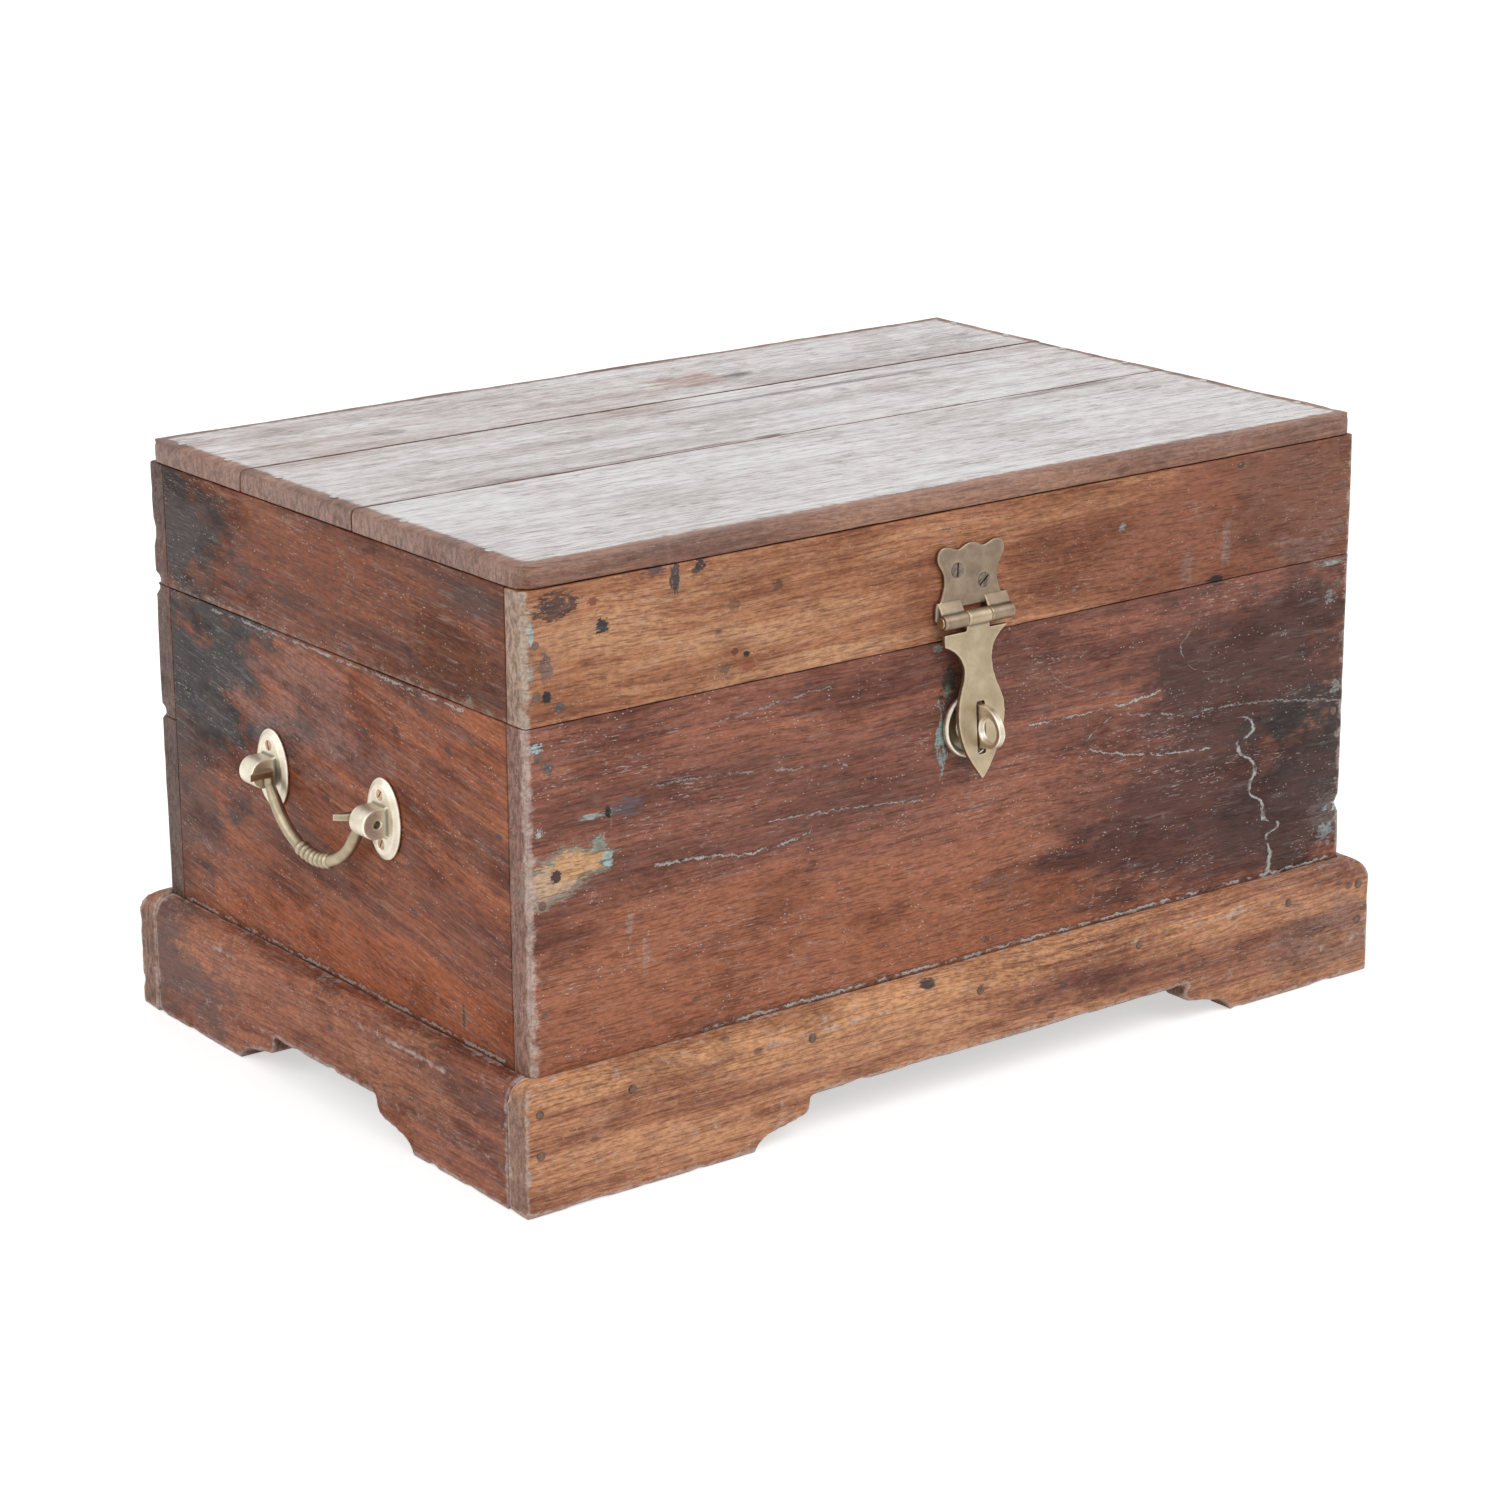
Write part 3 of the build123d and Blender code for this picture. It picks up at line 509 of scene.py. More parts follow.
def teak(
    name, tones, grain="x", tilt=0.0, bare=(0.4, 0.29, 0.23), end_bare=(0.3, 0.17, 0.125), rubbed=0.8,
    ends=0.75, dashes=0.5, specks=0.6, pits=0.5, mottle=0.45, grime=0.5, dust=0.15, lime=(0.6, 0.62, 0.6),
    shine=0.45, gloss=0.25, coat=0.0, patches=(), cracks=(), faded_with_glare=(), stains=(),
):
    """Old teak. Three tones run from deep to glowing, and bare is the wood under a rubbed edge."""
    material, tree = new_material(name)
    place = add(tree, "TexCoord").outputs["Object"]
    jump = {0: plank_jump, 3: attribute(tree, "plank")}
    jump = add(tree, "VectorMath", {"operation": "SCALE"}, jump).outputs[0]
    moved = add(tree, "VectorMath", {"operation": "ADD"}, {0: place, 1: jump}).outputs[0]
    turn = {"x": (0, math.radians(-tilt), 0.02), "y": (math.radians(-tilt), 0, -math.pi / 2)}[grain]
    vector = stretched(moved, rotation=turn)
    wood = use_group(tree, figure, {"Vector": vector}).outputs
    old = use_group(tree, age, {"Vector": vector}).outputs
    ramp = add(tree, "ValToRGB", (), {0: wood["Tone"]})
    stops = ramp.color_ramp.elements
    stops.new(0.5)
    for stop, tone in zip(stops, tones):
        stop.color = (*tone, 1)
    colour = ramp.outputs[0]

    def lay(mask, shade, amount=1.0, way="MIX"):
        """One more layer of colour over what is there."""
        nonlocal colour
        colour = blend(times(mask, amount), colour, shade, way)

    for centre, size, ragged, amount, shade in patches:
        small = max(size[1:]) < small_mark
        edge_of = {"Ragged": ragged + 0.5 * small, "Soft": 0.2 if small else 0.5}
        edge_of = {"Vector": place, "Centre": centre, "Size": size, **edge_of}
        mask = use_group(tree, patch, edge_of).outputs[0]
        varied = plus(wood["Streaks"], times(wood["Mottle"], 0.35))
        lay(mask, shade, times(plus(varied, 0.25), amount, clamp=True))
    lay(old["Grime"], grime_tint, grime, "MULTIPLY")
    lay(minus(1.0, wood["Mottle"]), mottle_tint, mottle, "MULTIPLY")
    rough_edge = minus(noise(place, (150, 150, 150), 6.0, 0.7), 0.5)
    # Upward faces take a pale grey colour: partly sun-worn wood, partly a painted reflection of white light.
    if faded_with_glare:
        bleached_with_glare, bare_of_wax = bleach_and_glare(wood, old, vector, place, faded_with_glare, stains)
        handled = plus(attribute(tree, "edge"), times(rough_edge, 0.7))
        glare_top_mask = above(attribute(tree, "up"), 0.93, 0.99, 0.97)
        glare_top_mask = times(glare_top_mask, minus(1.0, above(handled, 0.2, 0.55)))
        lay(glare_top_mask, bleached_with_glare)
        waxed = minus(1.0, times(bare_of_wax, 0.85))
        coat = times(times(glare_top_mask, coat), waxed)
    lay(wood["Pores"], pore_tint, 0.55, "MULTIPLY")
    lay(old["Pits"], pit_shade, pits)
    rays = above(noise(place, (420, 420, 190), 6.0, 0.72), 0.4, 0.6)
    end_wood = blend(rays, [0.32 * value for value in end_bare], end_bare)
    lay(arithmetic("POWER", attribute(tree, "end " + grain), 4.0), end_wood, ends)
    chafed = plus(attribute(tree, "edge"), times(rough_edge, 2.6))
    chafed = above(chafed, 0.3, 0.9, rubbed)
    lay(chafed, blend(wood["Mottle"], [0.6 * value for value in bare], bare))
    hue = above(noise(place, (75, 75, 75), 4.0, 0.7), 0.42, 0.58)
    lime = blend(hue, warm_lime, lime)
    for layer, amount in (("Dust", dust), ("Dashes", dashes), ("Specks", specks)):
        lay(old[layer], lime, amount)
    height = minus(wood["Fibre"], times(wood["Pores"], 0.5))
    for run, way, width, strength in cracks:
        split = crack(place, run, way, 2.4 * width, 0.3)
        lay(split, split_shade, 0.6 * strength)
        lay(crack(place, run, way, width), lime, strength)
        height = minus(height, times(split, 0.7))
    relief = add(tree, "Bump", (), {"Strength": 0.6, "Distance": 0.0003, "Height": height}).outputs[0]
    dull = times(plus(chafed, old["Grime"]), 0.2)
    inputs = {
        "Base Color": colour, "Roughness": plus(dull, shine, clamp=True), "Normal": relief,
        "Specular IOR Level": gloss, "Coat Weight": coat, "Coat Roughness": 0.22, "Coat IOR": 1.6,
    }
    return finished(material, inputs)


def ragged_mark(centre, size, ragged, amount, percent):
    """A ragged mark of a shade given in percent."""
    return centre, size, ragged, amount, [value / 100 for value in percent]


def on_top(x, y, width, depth, ragged, amount, percent, thick=10):
    """A stain on the lid's top, placed in millimetres."""
    size = width * mm, depth * mm, thick * mm
    return ragged_mark((x * mm, y * mm, cad_box[1][2]), size, ragged, amount, percent)


top_marks = [on_top(*row) for row in (
    (38, 117, 30, 16, 1.1, 0.9, (36, 17, 12), 20),
    (-80, 100, 130, 30, 1.6, 0.38, (36, 20, 15), 20),
    (-200, 110, 60, 50, 1.6, 0.35, (40, 26, 22), 20),
    (0, 30, 220, 12, 1.8, 0.42, (26, 20, 18), 20),
    (-90, 0, 120, 12, 1.8, 0.42, (26, 19, 18), 20),
    (120, 100, 80, 20, 1.8, 0.3, (22, 17, 16), 20),
    (-120, -16.5, 100, 3.5, 1.4, 1.3, (12, 9, 9), 20),
    (100, 61.5, 140, 3, 1.4, 1.2, (13, 10, 10), 20),
    (65.8, 112.9, 15, 7, 0.3, 1.6, (22, 18, 17), 20),
    (65.8, 112.9, 10, 3.5, 0.3, 2, (5, 3.5, 3.5), 20),
    (-191.7, 137.3, 8, 4, 0.8, 0.9, (12, 10, 9)),
    (-155.4, 108.3, 12, 6, 0.8, 0.9, (14, 12, 11)),
    (-167.1, -13.8, 12, 4, 0.8, 0.9, (13, 10, 11)),
    (-11, -16.3, 12, 3, 0.6, 1, (8, 6, 7)),
    (195, -20.8, 9, 4, 0.8, 0.6, (20, 18, 18)),
    (213.8, -49, 10, 5, 0.8, 0.6, (22, 19, 18)),
    (170, -23.5, 60, 4, 1, 0.8, (20, 16, 16)),
    (200, 118, 50, 20, 1.4, 0.5, (25, 20, 19)),
    (132.9, 19.3, 5, 3, 0.8, 0.6, (20, 16, 15)),
)]
edge_tones = ((0.12, 0.042, 0.026), (0.26, 0.108, 0.064), (0.42, 0.21, 0.13))
# Pale tops: partly sun-worn wood and partly a painted reflection of white light.
bleached_with_glare, blotched = (
    teak(
        name, edge_tones, bare=(0.42, 0.29, 0.24), end_bare=(0.44, 0.25, 0.19), rubbed=0.2, ends=0.7,
        dashes=0.25, specks=0.3, pits=0.55, grime=grime, dust=0.1, shine=0.4, gloss=0.5, coat=1.0,
        faded_with_glare=(shade, (0.66, 0.645, 0.64)), stains=top_marks,
    )
    for name, grime, shade in (
        ("bleached teak", 0.45, (0.45, 0.4, 0.385)), ("blotched bleached teak", 0.5, (0.38, 0.3, 0.28)),
    )
)
top_wear = {"else": 1.5, "x-z+": 4.6, "x+z+": 4.6, "x-z-": 1.0, "x+z-": 1.0}
top_ends = {"x-z+": 1.0, "x+z+": 1.0}
front_wear = {**top_wear, "y-z+": 4.6, "x-y-": 11, "x+y-": 11}
rear_wear = {**top_wear, "y+z+": 4.6, "x-y+": 11, "x+y+": 11}
front_rub = {**top_ends, "y-z+": 1.0}
rear_rub = {**top_ends, "y+z+": 1.0}
top_rub = 8
worn_board("lid_top_front_plank", bleached_with_glare, front_wear, front_rub, gap=0.25, rub_reach=top_rub, seed=11)
worn_board("lid_top_middle_plank", blotched, top_wear, top_ends, gap=0.35, rub_reach=top_rub, seed=23)
worn_board("lid_top_rear_plank", blotched, rear_wear, rear_rub, gap=0.25, rub_reach=top_rub, seed=31)

# ------------------------------------------------------------------ lid frame
# Four teak rails butted and nailed at the corners. The front one is a honey-coloured board
# that turns red-brown at its right end. Smoke and hands have blackened the left end's back.

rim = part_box("lid_front_rail")[0].z / mm
leaf = 1.75
let_into_lid = []
let_into_case = []
for side in ("left", "right"):
    leaf_low, leaf_high = (np.array(corner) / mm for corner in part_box(f"{side}_hinge_lid_leaf"))
    back_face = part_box("lid_back_rail")[1].y / mm
    flat = (leaf_low[0], leaf_low[1]), (leaf_high[0], back_face + 2)
    let_into_lid.append(((*flat[0], rim - 2), (*flat[1], rim + leaf), rim + leaf))
    let_into_case.append(((*flat[0], rim - leaf), (*flat[1], rim + 2), rim - leaf))

front_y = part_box("case_front_board")[0].y
end_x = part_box("case_left_side")[0].x
into_front = 20 * mm
into_end = 30 * mm


def on_front(x, z, width, height, ragged, amount, percent):
    """A mark on the front of the chest, placed in millimetres."""
    size = width * mm, into_front, height * mm
    return ragged_mark((x * mm, front_y, z * mm), size, ragged, amount, percent)


def on_end(y, z, width, height, ragged, amount, percent):
    """A mark on the left end of the chest, placed in millimetres."""
    size = into_end, width * mm, height * mm
    return ragged_mark((end_x, y * mm, z * mm), size, ragged, amount, percent)


dark_mark = (4.5, 3.5, 4)
red_mark = (27, 8.5, 5)
lid_front_marks = [on_front(*row) for row in (
    (200, 255, 150, 70, 0.9, 1, (33, 12.2, 6.5)),
    (220, 255, 60, 50, 0.9, 0.5, (16, 7.5, 5.5)),
    (-236.9, 279.4, 12, 6, 1.2, 1, (10, 5, 4)),
    (-212, 266.5, 4, 3.5, 0.5, 1.3, dark_mark),
    (-217.1, 278.4, 3, 2, 0.5, 1, red_mark),
    (-172.4, 282.9, 2.8, 9, 0.8, 1.2, (9, 7, 7.5)),
    (-182.8, 287.4, 6, 2, 0.8, 1, (12, 8, 8)),
    (-157.9, 286.1, 3, 3, 0.5, 1, dark_mark),
    (-113.9, 268.8, 3, 3, 0.5, 0.8, (16, 8, 6)),
    (-139, 264.5, 4, 3, 0.7, 0.7, (20, 9, 6)),
    (-139.2, 242, 2, 2, 0.3, 1.1, red_mark),
    (-132.4, 239.8, 2, 1.6, 0.3, 1.2, dark_mark),
    (-130.8, 233.9, 5, 3.5, 0.7, 0.8, (42, 14, 8.5)),
    (-145, 234.5, 3, 2, 0.5, 0.8, (20, 16, 13)),
    (-242.8, 252.7, 4, 7, 0.8, 0.8, (20, 15, 14)),
    (-242.6, 239, 2.8, 2.8, 0.4, 1.2, dark_mark),
    (-235.9, 233.1, 3, 2.5, 0.4, 1, (15, 14, 15)),
    (140.8, 235.9, 4, 9, 1.4, 0.5, (36, 25, 22)),
    (167, 244, 3, 12, 1.4, 0.55, (36, 25, 22)),
    (219.6, 233.7, 18, 9, 1.4, 0.45, (36, 22, 19)),
    (160.8, 227.5, 6, 1.8, 0.4, 1.2, (3, 2, 2)),
    (97.3, 263.5, 2.2, 2.5, 0.8, 1, (40, 46, 42)),
    (-250.5, 268, 1.6, 6.5, 1.2, 0.9, (42, 62, 66)),
    (-250.8, 251, 1.2, 5, 1.2, 0.8, (42, 55, 56)),
)]
honey_tones = ((0.305, 0.112, 0.0534), (0.497, 0.213, 0.104), (0.655, 0.347, 0.186))
honey = teak(
    "honey teak", honey_tones, tilt=0.4, bare=(0.66, 0.53, 0.43), end_bare=(0.56, 0.42, 0.33), dashes=0.35,
    specks=0.5, pits=0.8, mottle=0.5, grime=0.4, dust=0.1, patches=lid_front_marks,
)
lime_on_ends = (0.52, 0.5, 0.46)
lid_end_marks = [on_end(*row) for row in (
    (160, 262, 80, 60, 1.5, 1.2, (6.2, 4.2, 3.6)),
    (20, 265, 80, 25, 0.9, 0.8, (26, 6.5, 1.8)),
    (-100, 245, 50, 14, 0.8, 0.6, (30, 10, 3.5)),
    (-120, 277, 30, 8, 0.8, 0.7, (9, 5, 4)),
)]
smoked_tones = ((0.104, 0.0282, 0.0123), (0.199, 0.0528, 0.0194), (0.332, 0.101, 0.0334))
smoked = teak(
    "smoked teak", smoked_tones, "y", 3, dashes=0.55, specks=0.9, pits=0.7, mottle=0.6, grime=0.6, dust=0.25,
    lime=lime_on_ends, patches=lid_end_marks,
)
dusky = teak(
    "dusky teak", ((0.1, 0.034, 0.022), (0.17, 0.06, 0.036), (0.26, 0.1, 0.055)), bare=(0.3, 0.22, 0.19),
    end_bare=(0.17, 0.115, 0.1), ends=0.6, grime=0.6,
)
near_corner = {"x-y-": 1.0, "x+y-": 0.7, "x-z-": 0.55}
rear_nicks = (("x-y+", 290.6, 2.2, 4.0), ("x-y+", 252.5, 5.0, 3.0), ("x-y+", 228.0, 3.0, 6.0))
worn_board("lid_front_rail", honey, {"else": 0.7, "x-y-": 4.4, "x+y-": 3.0}, near_corner, seed=43)
worn_board(
    "lid_back_rail", dusky, {"else": 0.8, "x-y+": 3, "x+y+": 3}, {"x-y+": 0.5, "x+y+": 0.7}, rear_nicks,
    let_in=let_into_lid, seed=57,
)
worn_board("lid_left_rail", smoked, {"else": 0.7, "x-z-": 1.3}, {"x-z-": 0.6}, seed=61)
worn_board("lid_right_rail", smoked, {"else": 0.7, "x+z-": 1.3}, {"x+z-": 0.6}, seed=71)

# ------------------------------------------------------------------ case
# A front board and two back planks nailed over the ends of the two side boards, all of old
# dark teak. A shake runs down the front's smoked right end, and a chip bares its left end.

case_front_marks = [on_front(*row) for row in (
    (-130, 90, 200, 50, 0.9, 0.85, (44, 16.5, 8.5)),
    (40, 85, 120, 35, 0.9, 0.75, (42, 15, 7)),
    (140, 105, 120, 45, 1, 0.85, (8, 2.7, 2.2)),
    (200, 170, 100, 60, 1, 1, (9, 3.6, 2.9)),
    (245, 118, 56, 50, 1.5, 1.05, (5, 3.4, 3)),
    (210, 95, 60, 30, 1.3, 0.9, (8, 3.4, 2.8)),
    (243, 88, 12, 12, 1.6, 0.5, (20, 17, 16)),
    (-244, 153.5, 16.5, 11.5, 0.5, 1.5, (36, 29, 23)),
    (-226.5, 159, 17.5, 9.5, 0.5, 1.5, (30, 28, 22)),
    (-243, 154, 13.5, 7.5, 0.5, 1.6, (68, 46, 30)),
    (-227, 159.2, 14.5, 6.8, 0.5, 1.6, (74, 43, 22)),
    (-239.9, 155.3, 3, 3, 0.4, 1.4, (10, 5, 5)),
    (-216.8, 166.1, 4.5, 4, 0.8, 1, (30, 34, 28)),
    (-211.5, 157.9, 3, 4, 0.9, 1.2, (42, 58, 56)),
    (-200, 180.5, 11, 4, 0.9, 0.9, (15, 12, 13)),
    (-219.5, 179.5, 7, 1.4, 0.9, 1, (42, 52, 48)),
    (-210.8, 179.9, 1.8, 3.2, 0.3, 2, (0.8, 0.6, 0.6)),
    (0, 183, 20, 26, 0.9, 0.7, (6, 4, 4)),
    (-16.5, 178, 3.4, 12.5, 1.8, 1, (32, 42, 40)),
    (-12.5, 204.5, 4.5, 7, 1.5, 1, (4.5, 5, 4)),
    (-13, 200, 2, 3, 1.5, 0.8, (24, 30, 24)),
    (16.5, 189, 2.2, 4, 1.3, 1, (30, 50, 50)),
    (-19, 222.5, 2.8, 1.6, 1.3, 0.9, (36, 45, 42)),
    (250, 91, 7, 2.2, 1, 1.2, (40, 66, 70)),
    (248.6, 156.2, 3.5, 4, 1.6, 0.8, (32, 34, 32)),
    (241.7, 205.4, 4, 3, 1.8, 0.7, (34, 40, 38)),
    (244.6, 77.6, 6, 5.5, 1.8, 0.9, (36, 42, 42)),
    (243, 223, 10, 1.4, 1.4, 1, (40, 48, 44)),
    (-249.5, 216.7, 3, 2.2, 1.6, 1.2, (50, 66, 72)),
    (-248.5, 177.3, 1.8, 1.8, 1.6, 1.2, (60, 62, 60)),
    (-242.9, 206.3, 3, 3, 1.6, 0.9, (13, 11, 11)),
    (-200, 124, 2.2, 6, 1.4, 0.45, (50, 36, 33)),
    (-191, 108, 2.2, 7.5, 1.4, 0.45, (50, 36, 33)),
)]
shake = (
    (59.4, 200.7), (73.8, 205), (84.1, 202.4), (88.5, 210.1), (94.5, 199.1), (102.1, 198.8),
    (111.7, 188.4), (122.2, 192.2), (138, 179.6), (143.5, 189.9), (152.1, 177.6),
)
case_front_cracks = (
    ("z", shake, 1.5, 0.75),
    ("x", ((-160, 63.4), (0, 63.7), (250, 63.4)), 0.9, 0.8),
    ("x", ((178.5, 138.5), (185, 140.2), (190.5, 143)), 0.9, 0.75),
    ("x", ((198, 94.8), (204, 92.5), (210.5, 88.5)), 0.8, 0.75),
    ("x", ((38.5, 174.5), (88.7, 173.2), (125.3, 176.5)), 0.5, 0.8),
    ("x", ((51.5, 201.2), (56.8, 193.2), (70, 186), (95.8, 180.1)), 0.4, 0.35),
    ("z", ((157.4, 73.9), (161.5, 79.8), (168.4, 92.1)), 0.6, 0.8),
    ("x", ((73.9, 157.4), (82, 152.8), (108.1, 146.3), (134.6, 141.8), (160.1, 139.5)), 0.6, 0.75),
    ("x", ((103.4, 167.9), (133.9, 162.3), (180.8, 158.9), (254.9, 147.6)), 0.4, 0.55),
    ("z", ((178.7, 164.1), (192, 139), (199, 140.1), (207.1, 168.5)), 0.5, 0.4),
    ("x", ((-185.6, 149.1), (-160.2, 147.6), (-125.6, 143.9), (-99.2, 146.3), (-95, 149.9)), 0.7, 0.7),
    ("x", ((-151.5, 210.1), (-126.9, 212.2), (-103.1, 214.6), (-80.8, 215.4)), 0.5, 0.4),
    ("x", ((-183.8, 186.9), (-155.7, 185.7), (-99.7, 179.1), (-73.6, 175.6)), 0.5, 0.45),
    ("x", ((-120.3, 156.9), (-82.5, 154.7), (-29.1, 149.5)), 0.5, 0.6),
)
red_tones = ((0.195, 0.072, 0.048), (0.329, 0.126, 0.0816), (0.464, 0.18, 0.102))
case_front = teak(
    "red brown teak", red_tones, tilt=0.6, bare=(0.7, 0.53, 0.46), end_bare=(0.38, 0.215, 0.165), ends=0.7,
    dashes=0.6, specks=0.8, mottle=0.5, dust=0.12, patches=case_front_marks, cracks=case_front_cracks,
)
case_end_marks = [on_end(*row) for row in (
    (-20, 80, 170, 22, 0.7, 0.85, (42, 10.5, 2.6)),
    (155, 190, 105, 75, 1.5, 1.6, (4.2, 3.3, 3)),
    (150, 120, 50, 50, 1.2, 0.8, (12, 5, 3.6)),
    (30, 190, 70, 35, 1.5, 0.45, (36, 20, 17)),
    (-102.7, 75, 1.3, 7, 0.2, 1.2, (8, 4, 3)),
)]
case_end_cracks = (
    ("y", ((-140, 63.5), (0, 63.7), (160, 63.5)), 0.9, 0.6),
    ("y", ((-110, 223.8), (30, 224.1), (120, 223.8)), 0.7, 0.7),
)
case_side = teak(
    "glowing teak", ((0.157, 0.0399, 0.018), (0.302, 0.084, 0.032), (0.493, 0.147, 0.048)), "y", 9,
    bare=(0.42, 0.32, 0.28), dashes=0.55, specks=0.9, pits=0.7, mottle=0.6, grime=0.55, dust=0.18,
    lime=lime_on_ends, patches=case_end_marks, cracks=case_end_cracks,
)
case_nicks = (("x-y+", 224.0, 2.5, 5.0), ("x-y+", 159.0, 3.0, 5.0))
worn_board(
    "case_front_board", case_front, {"else": 0.7, "x-y-": 3.2, "x+y-": 2.6}, {"x-y-": 1.0, "x+y-": 0.7},
    (("x+y-", 91.0, 3.0, 5.0),), seed=83,
)
back_wear = {"else": 0.8, "x-y+": 2.5, "x+y+": 2.5}
back_rub = {"x-y+": 0.5, "x+y+": 0.6}
worn_board("case_back_lower_plank", dusky, back_wear, back_rub, case_nicks, seed=97)
worn_board("case_back_upper_plank", dusky, back_wear, back_rub, case_nicks, let_in=let_into_case, seed=101)
worn_board("case_left_side", case_side, {"else": 0.7}, seed=113)
worn_board("case_right_side", case_side, {"else": 0.7}, seed=127)


def paint(node, material):
    """A material for a CAD node that keeps its own mesh."""
    node.data.materials.clear()
    node.data.materials.append(material)


inside_teak = teak(
    "bare teak", ((0.2, 0.125, 0.075), (0.3, 0.19, 0.12), (0.4, 0.27, 0.17)), rubbed=0.0, dashes=0.1,
    specks=0.1, pits=0.4, dust=0.1, shine=0.6,
)
for name, node in nodes.items():
    if name.startswith(("floor_board", "foot_block")):
        paint(node, inside_teak)

# ------------------------------------------------------------------ plinth
# Four boards with a round moulding along the top and a scrolled bracket at each end, worn
# pale along every edge that a broom or a shoe has reached.


def even_copy(node, voxel, smoothing):
    """A CAD node's shape in even small faces, its sharp edges softened: points, normals, faces, edges."""
    joined = bmesh.new()
    joined.from_mesh(nodes[node].data)
    bmesh.ops.remove_doubles(joined, verts=joined.verts, dist=0.01 * mm)
    mesh = bpy.data.meshes.new(node + " copy")
    joined.to_mesh(mesh)
    joined.free()
    copy = bpy.data.objects.new(node + " copy", mesh)
    scene.collection.objects.link(copy)
    remesh = copy.modifiers.new("remesh", "REMESH")
    remesh.mode = "VOXEL"
    remesh.voxel_size = voxel * mm
    smooth = copy.modifiers.new("smooth", "SMOOTH")
    smooth.factor = 0.5
    smooth.iterations = smoothing
    result = bpy.data.meshes.new_from_object(copy.evaluated_get(bpy.context.evaluated_depsgraph_get()))
    bpy.data.objects.remove(copy)

    def read(source, name, width, kind=float):
        """One property of every element, a row for each."""
        values = np.empty(len(source) * width, kind)
        source.foreach_get(name, values)
        return values.reshape(-1, width)

    points, normals = read(result.vertices, "co", 3) / mm, read(result.vertices, "normal", 3)
    faces, edges = read(result.polygons, "vertices", 4, int), read(result.edges, "vertices", 2, int)
    bpy.data.meshes.remove(result)
    return points, normals, faces, edges


def standing_out(points, normals, pairs, radius, rounds):
    """From -1 in a hollow to 1 on an outer edge sharper than the given radius."""
    one, other = pairs.T
    step = points[one] - points[other]
    turned = np.sum((normals[one] - normals[other]) * step, axis=1)
    bend = turned / np.maximum(np.sum(step * step, axis=1), 1e-6)
    count = np.bincount(pairs.ravel(), minlength=len(points))
    value = np.bincount(one, bend, len(points)) + np.bincount(other, bend, len(points))
    value = value / np.maximum(count, 1)
    for _ in range(rounds):
        spread = np.bincount(one, value[other], len(points)) + np.bincount(other, value[one], len(points))
        value = 0.4 * value + 0.6 * spread / np.maximum(count, 1)
    return np.tanh(value * radius)


plinth_front_marks = [on_front(*row) for row in (
    (-80, 57, 260, 11, 0.9, 0.85, (76, 39, 19)),
    (-31.3, 59, 6, 2.6, 0, 1.2, (10, 5.5, 4.5)),
    (240, 30, 60, 40, 1.4, 0.7, (34, 20, 15)),
)]
plinth_end_marks = [on_end(*row) for row in (
    (160, 30, 70, 50, 1.4, 0.9, (16, 7.5, 5.5)),
    (-50, 35, 80, 30, 1.4, 0.6, (50, 20, 9)),
)]
plinth_front = teak(
    "plinth teak", ((0.26, 0.0994, 0.0624), (0.519, 0.228, 0.12), (0.732, 0.374, 0.198)), tilt=0.8,
    bare=(0.66, 0.5, 0.42), end_bare=(0.34, 0.2, 0.15), dashes=0.4, pits=0.6, mottle=0.55, grime=0.6,
    patches=plinth_front_marks,
)
plinth_side = teak(
    "plinth end teak", ((0.18, 0.0543, 0.0291), (0.36, 0.113, 0.0538), (0.528, 0.195, 0.0952)), "y", -1,
    bare=(0.6, 0.46, 0.42), specks=0.7, pits=0.7, mottle=0.6, grime=0.6, dust=0.2, lime=lime_on_ends,
    patches=plinth_end_marks,
)
moulding_foot = 52.0
apron_foot = 20.5
plinth_voxel = 1.15
plinth_boards = {"front": plinth_front, "back": plinth_front, "left": plinth_side, "right": plinth_side}
for number, (side, material) in enumerate(plinth_boards.items()):
    node = f"base_{side}_board"
    points, normals, faces, pairs = even_copy(node, plinth_voxel, 3)
    edge = 1.3 * standing_out(points, normals, pairs, 3.0, 4)
    swept = np.clip(1.6 * lumps(points, 60, 230 + number), -0.3, 1) * (abs(normals[:, 2]) < 0.6)
    edge = edge + 0.9 * swept * np.exp(-(((points[:, 2] - moulding_foot) / 1.5) ** 2))
    for height in (0, apron_foot):
        edge = edge + 0.3 * np.exp(-(((points[:, 2] - height) / 3.5) ** 2))
    wavy = 0.2 + 0.22 * lumps(points, 55, 200 + number) + 0.1 * lumps(points, 10, 210 + number)
    chips = 1.5 * np.clip(edge, 0, 1) * np.clip(lumps(points, 8, 220 + number) - 0.25, 0, 1)
    points = points - normals * (wavy + chips)[:, None]
    points[:, 2] = np.maximum(points[:, 2], 0)
    marks = {"edge": np.clip(edge, 0, 1), "plank": np.full(len(points), 0.29 * (number + 1) % 1)}
    stand_for(make_piece("worn_" + node, points, faces, material, marks), node)

# ------------------------------------------------------------------ brass
# The hasp, the staple and the two drop handles are sand-cast brass, filed and never
# polished since. Their edges are soft and bright, and verdigris sits in their corners.


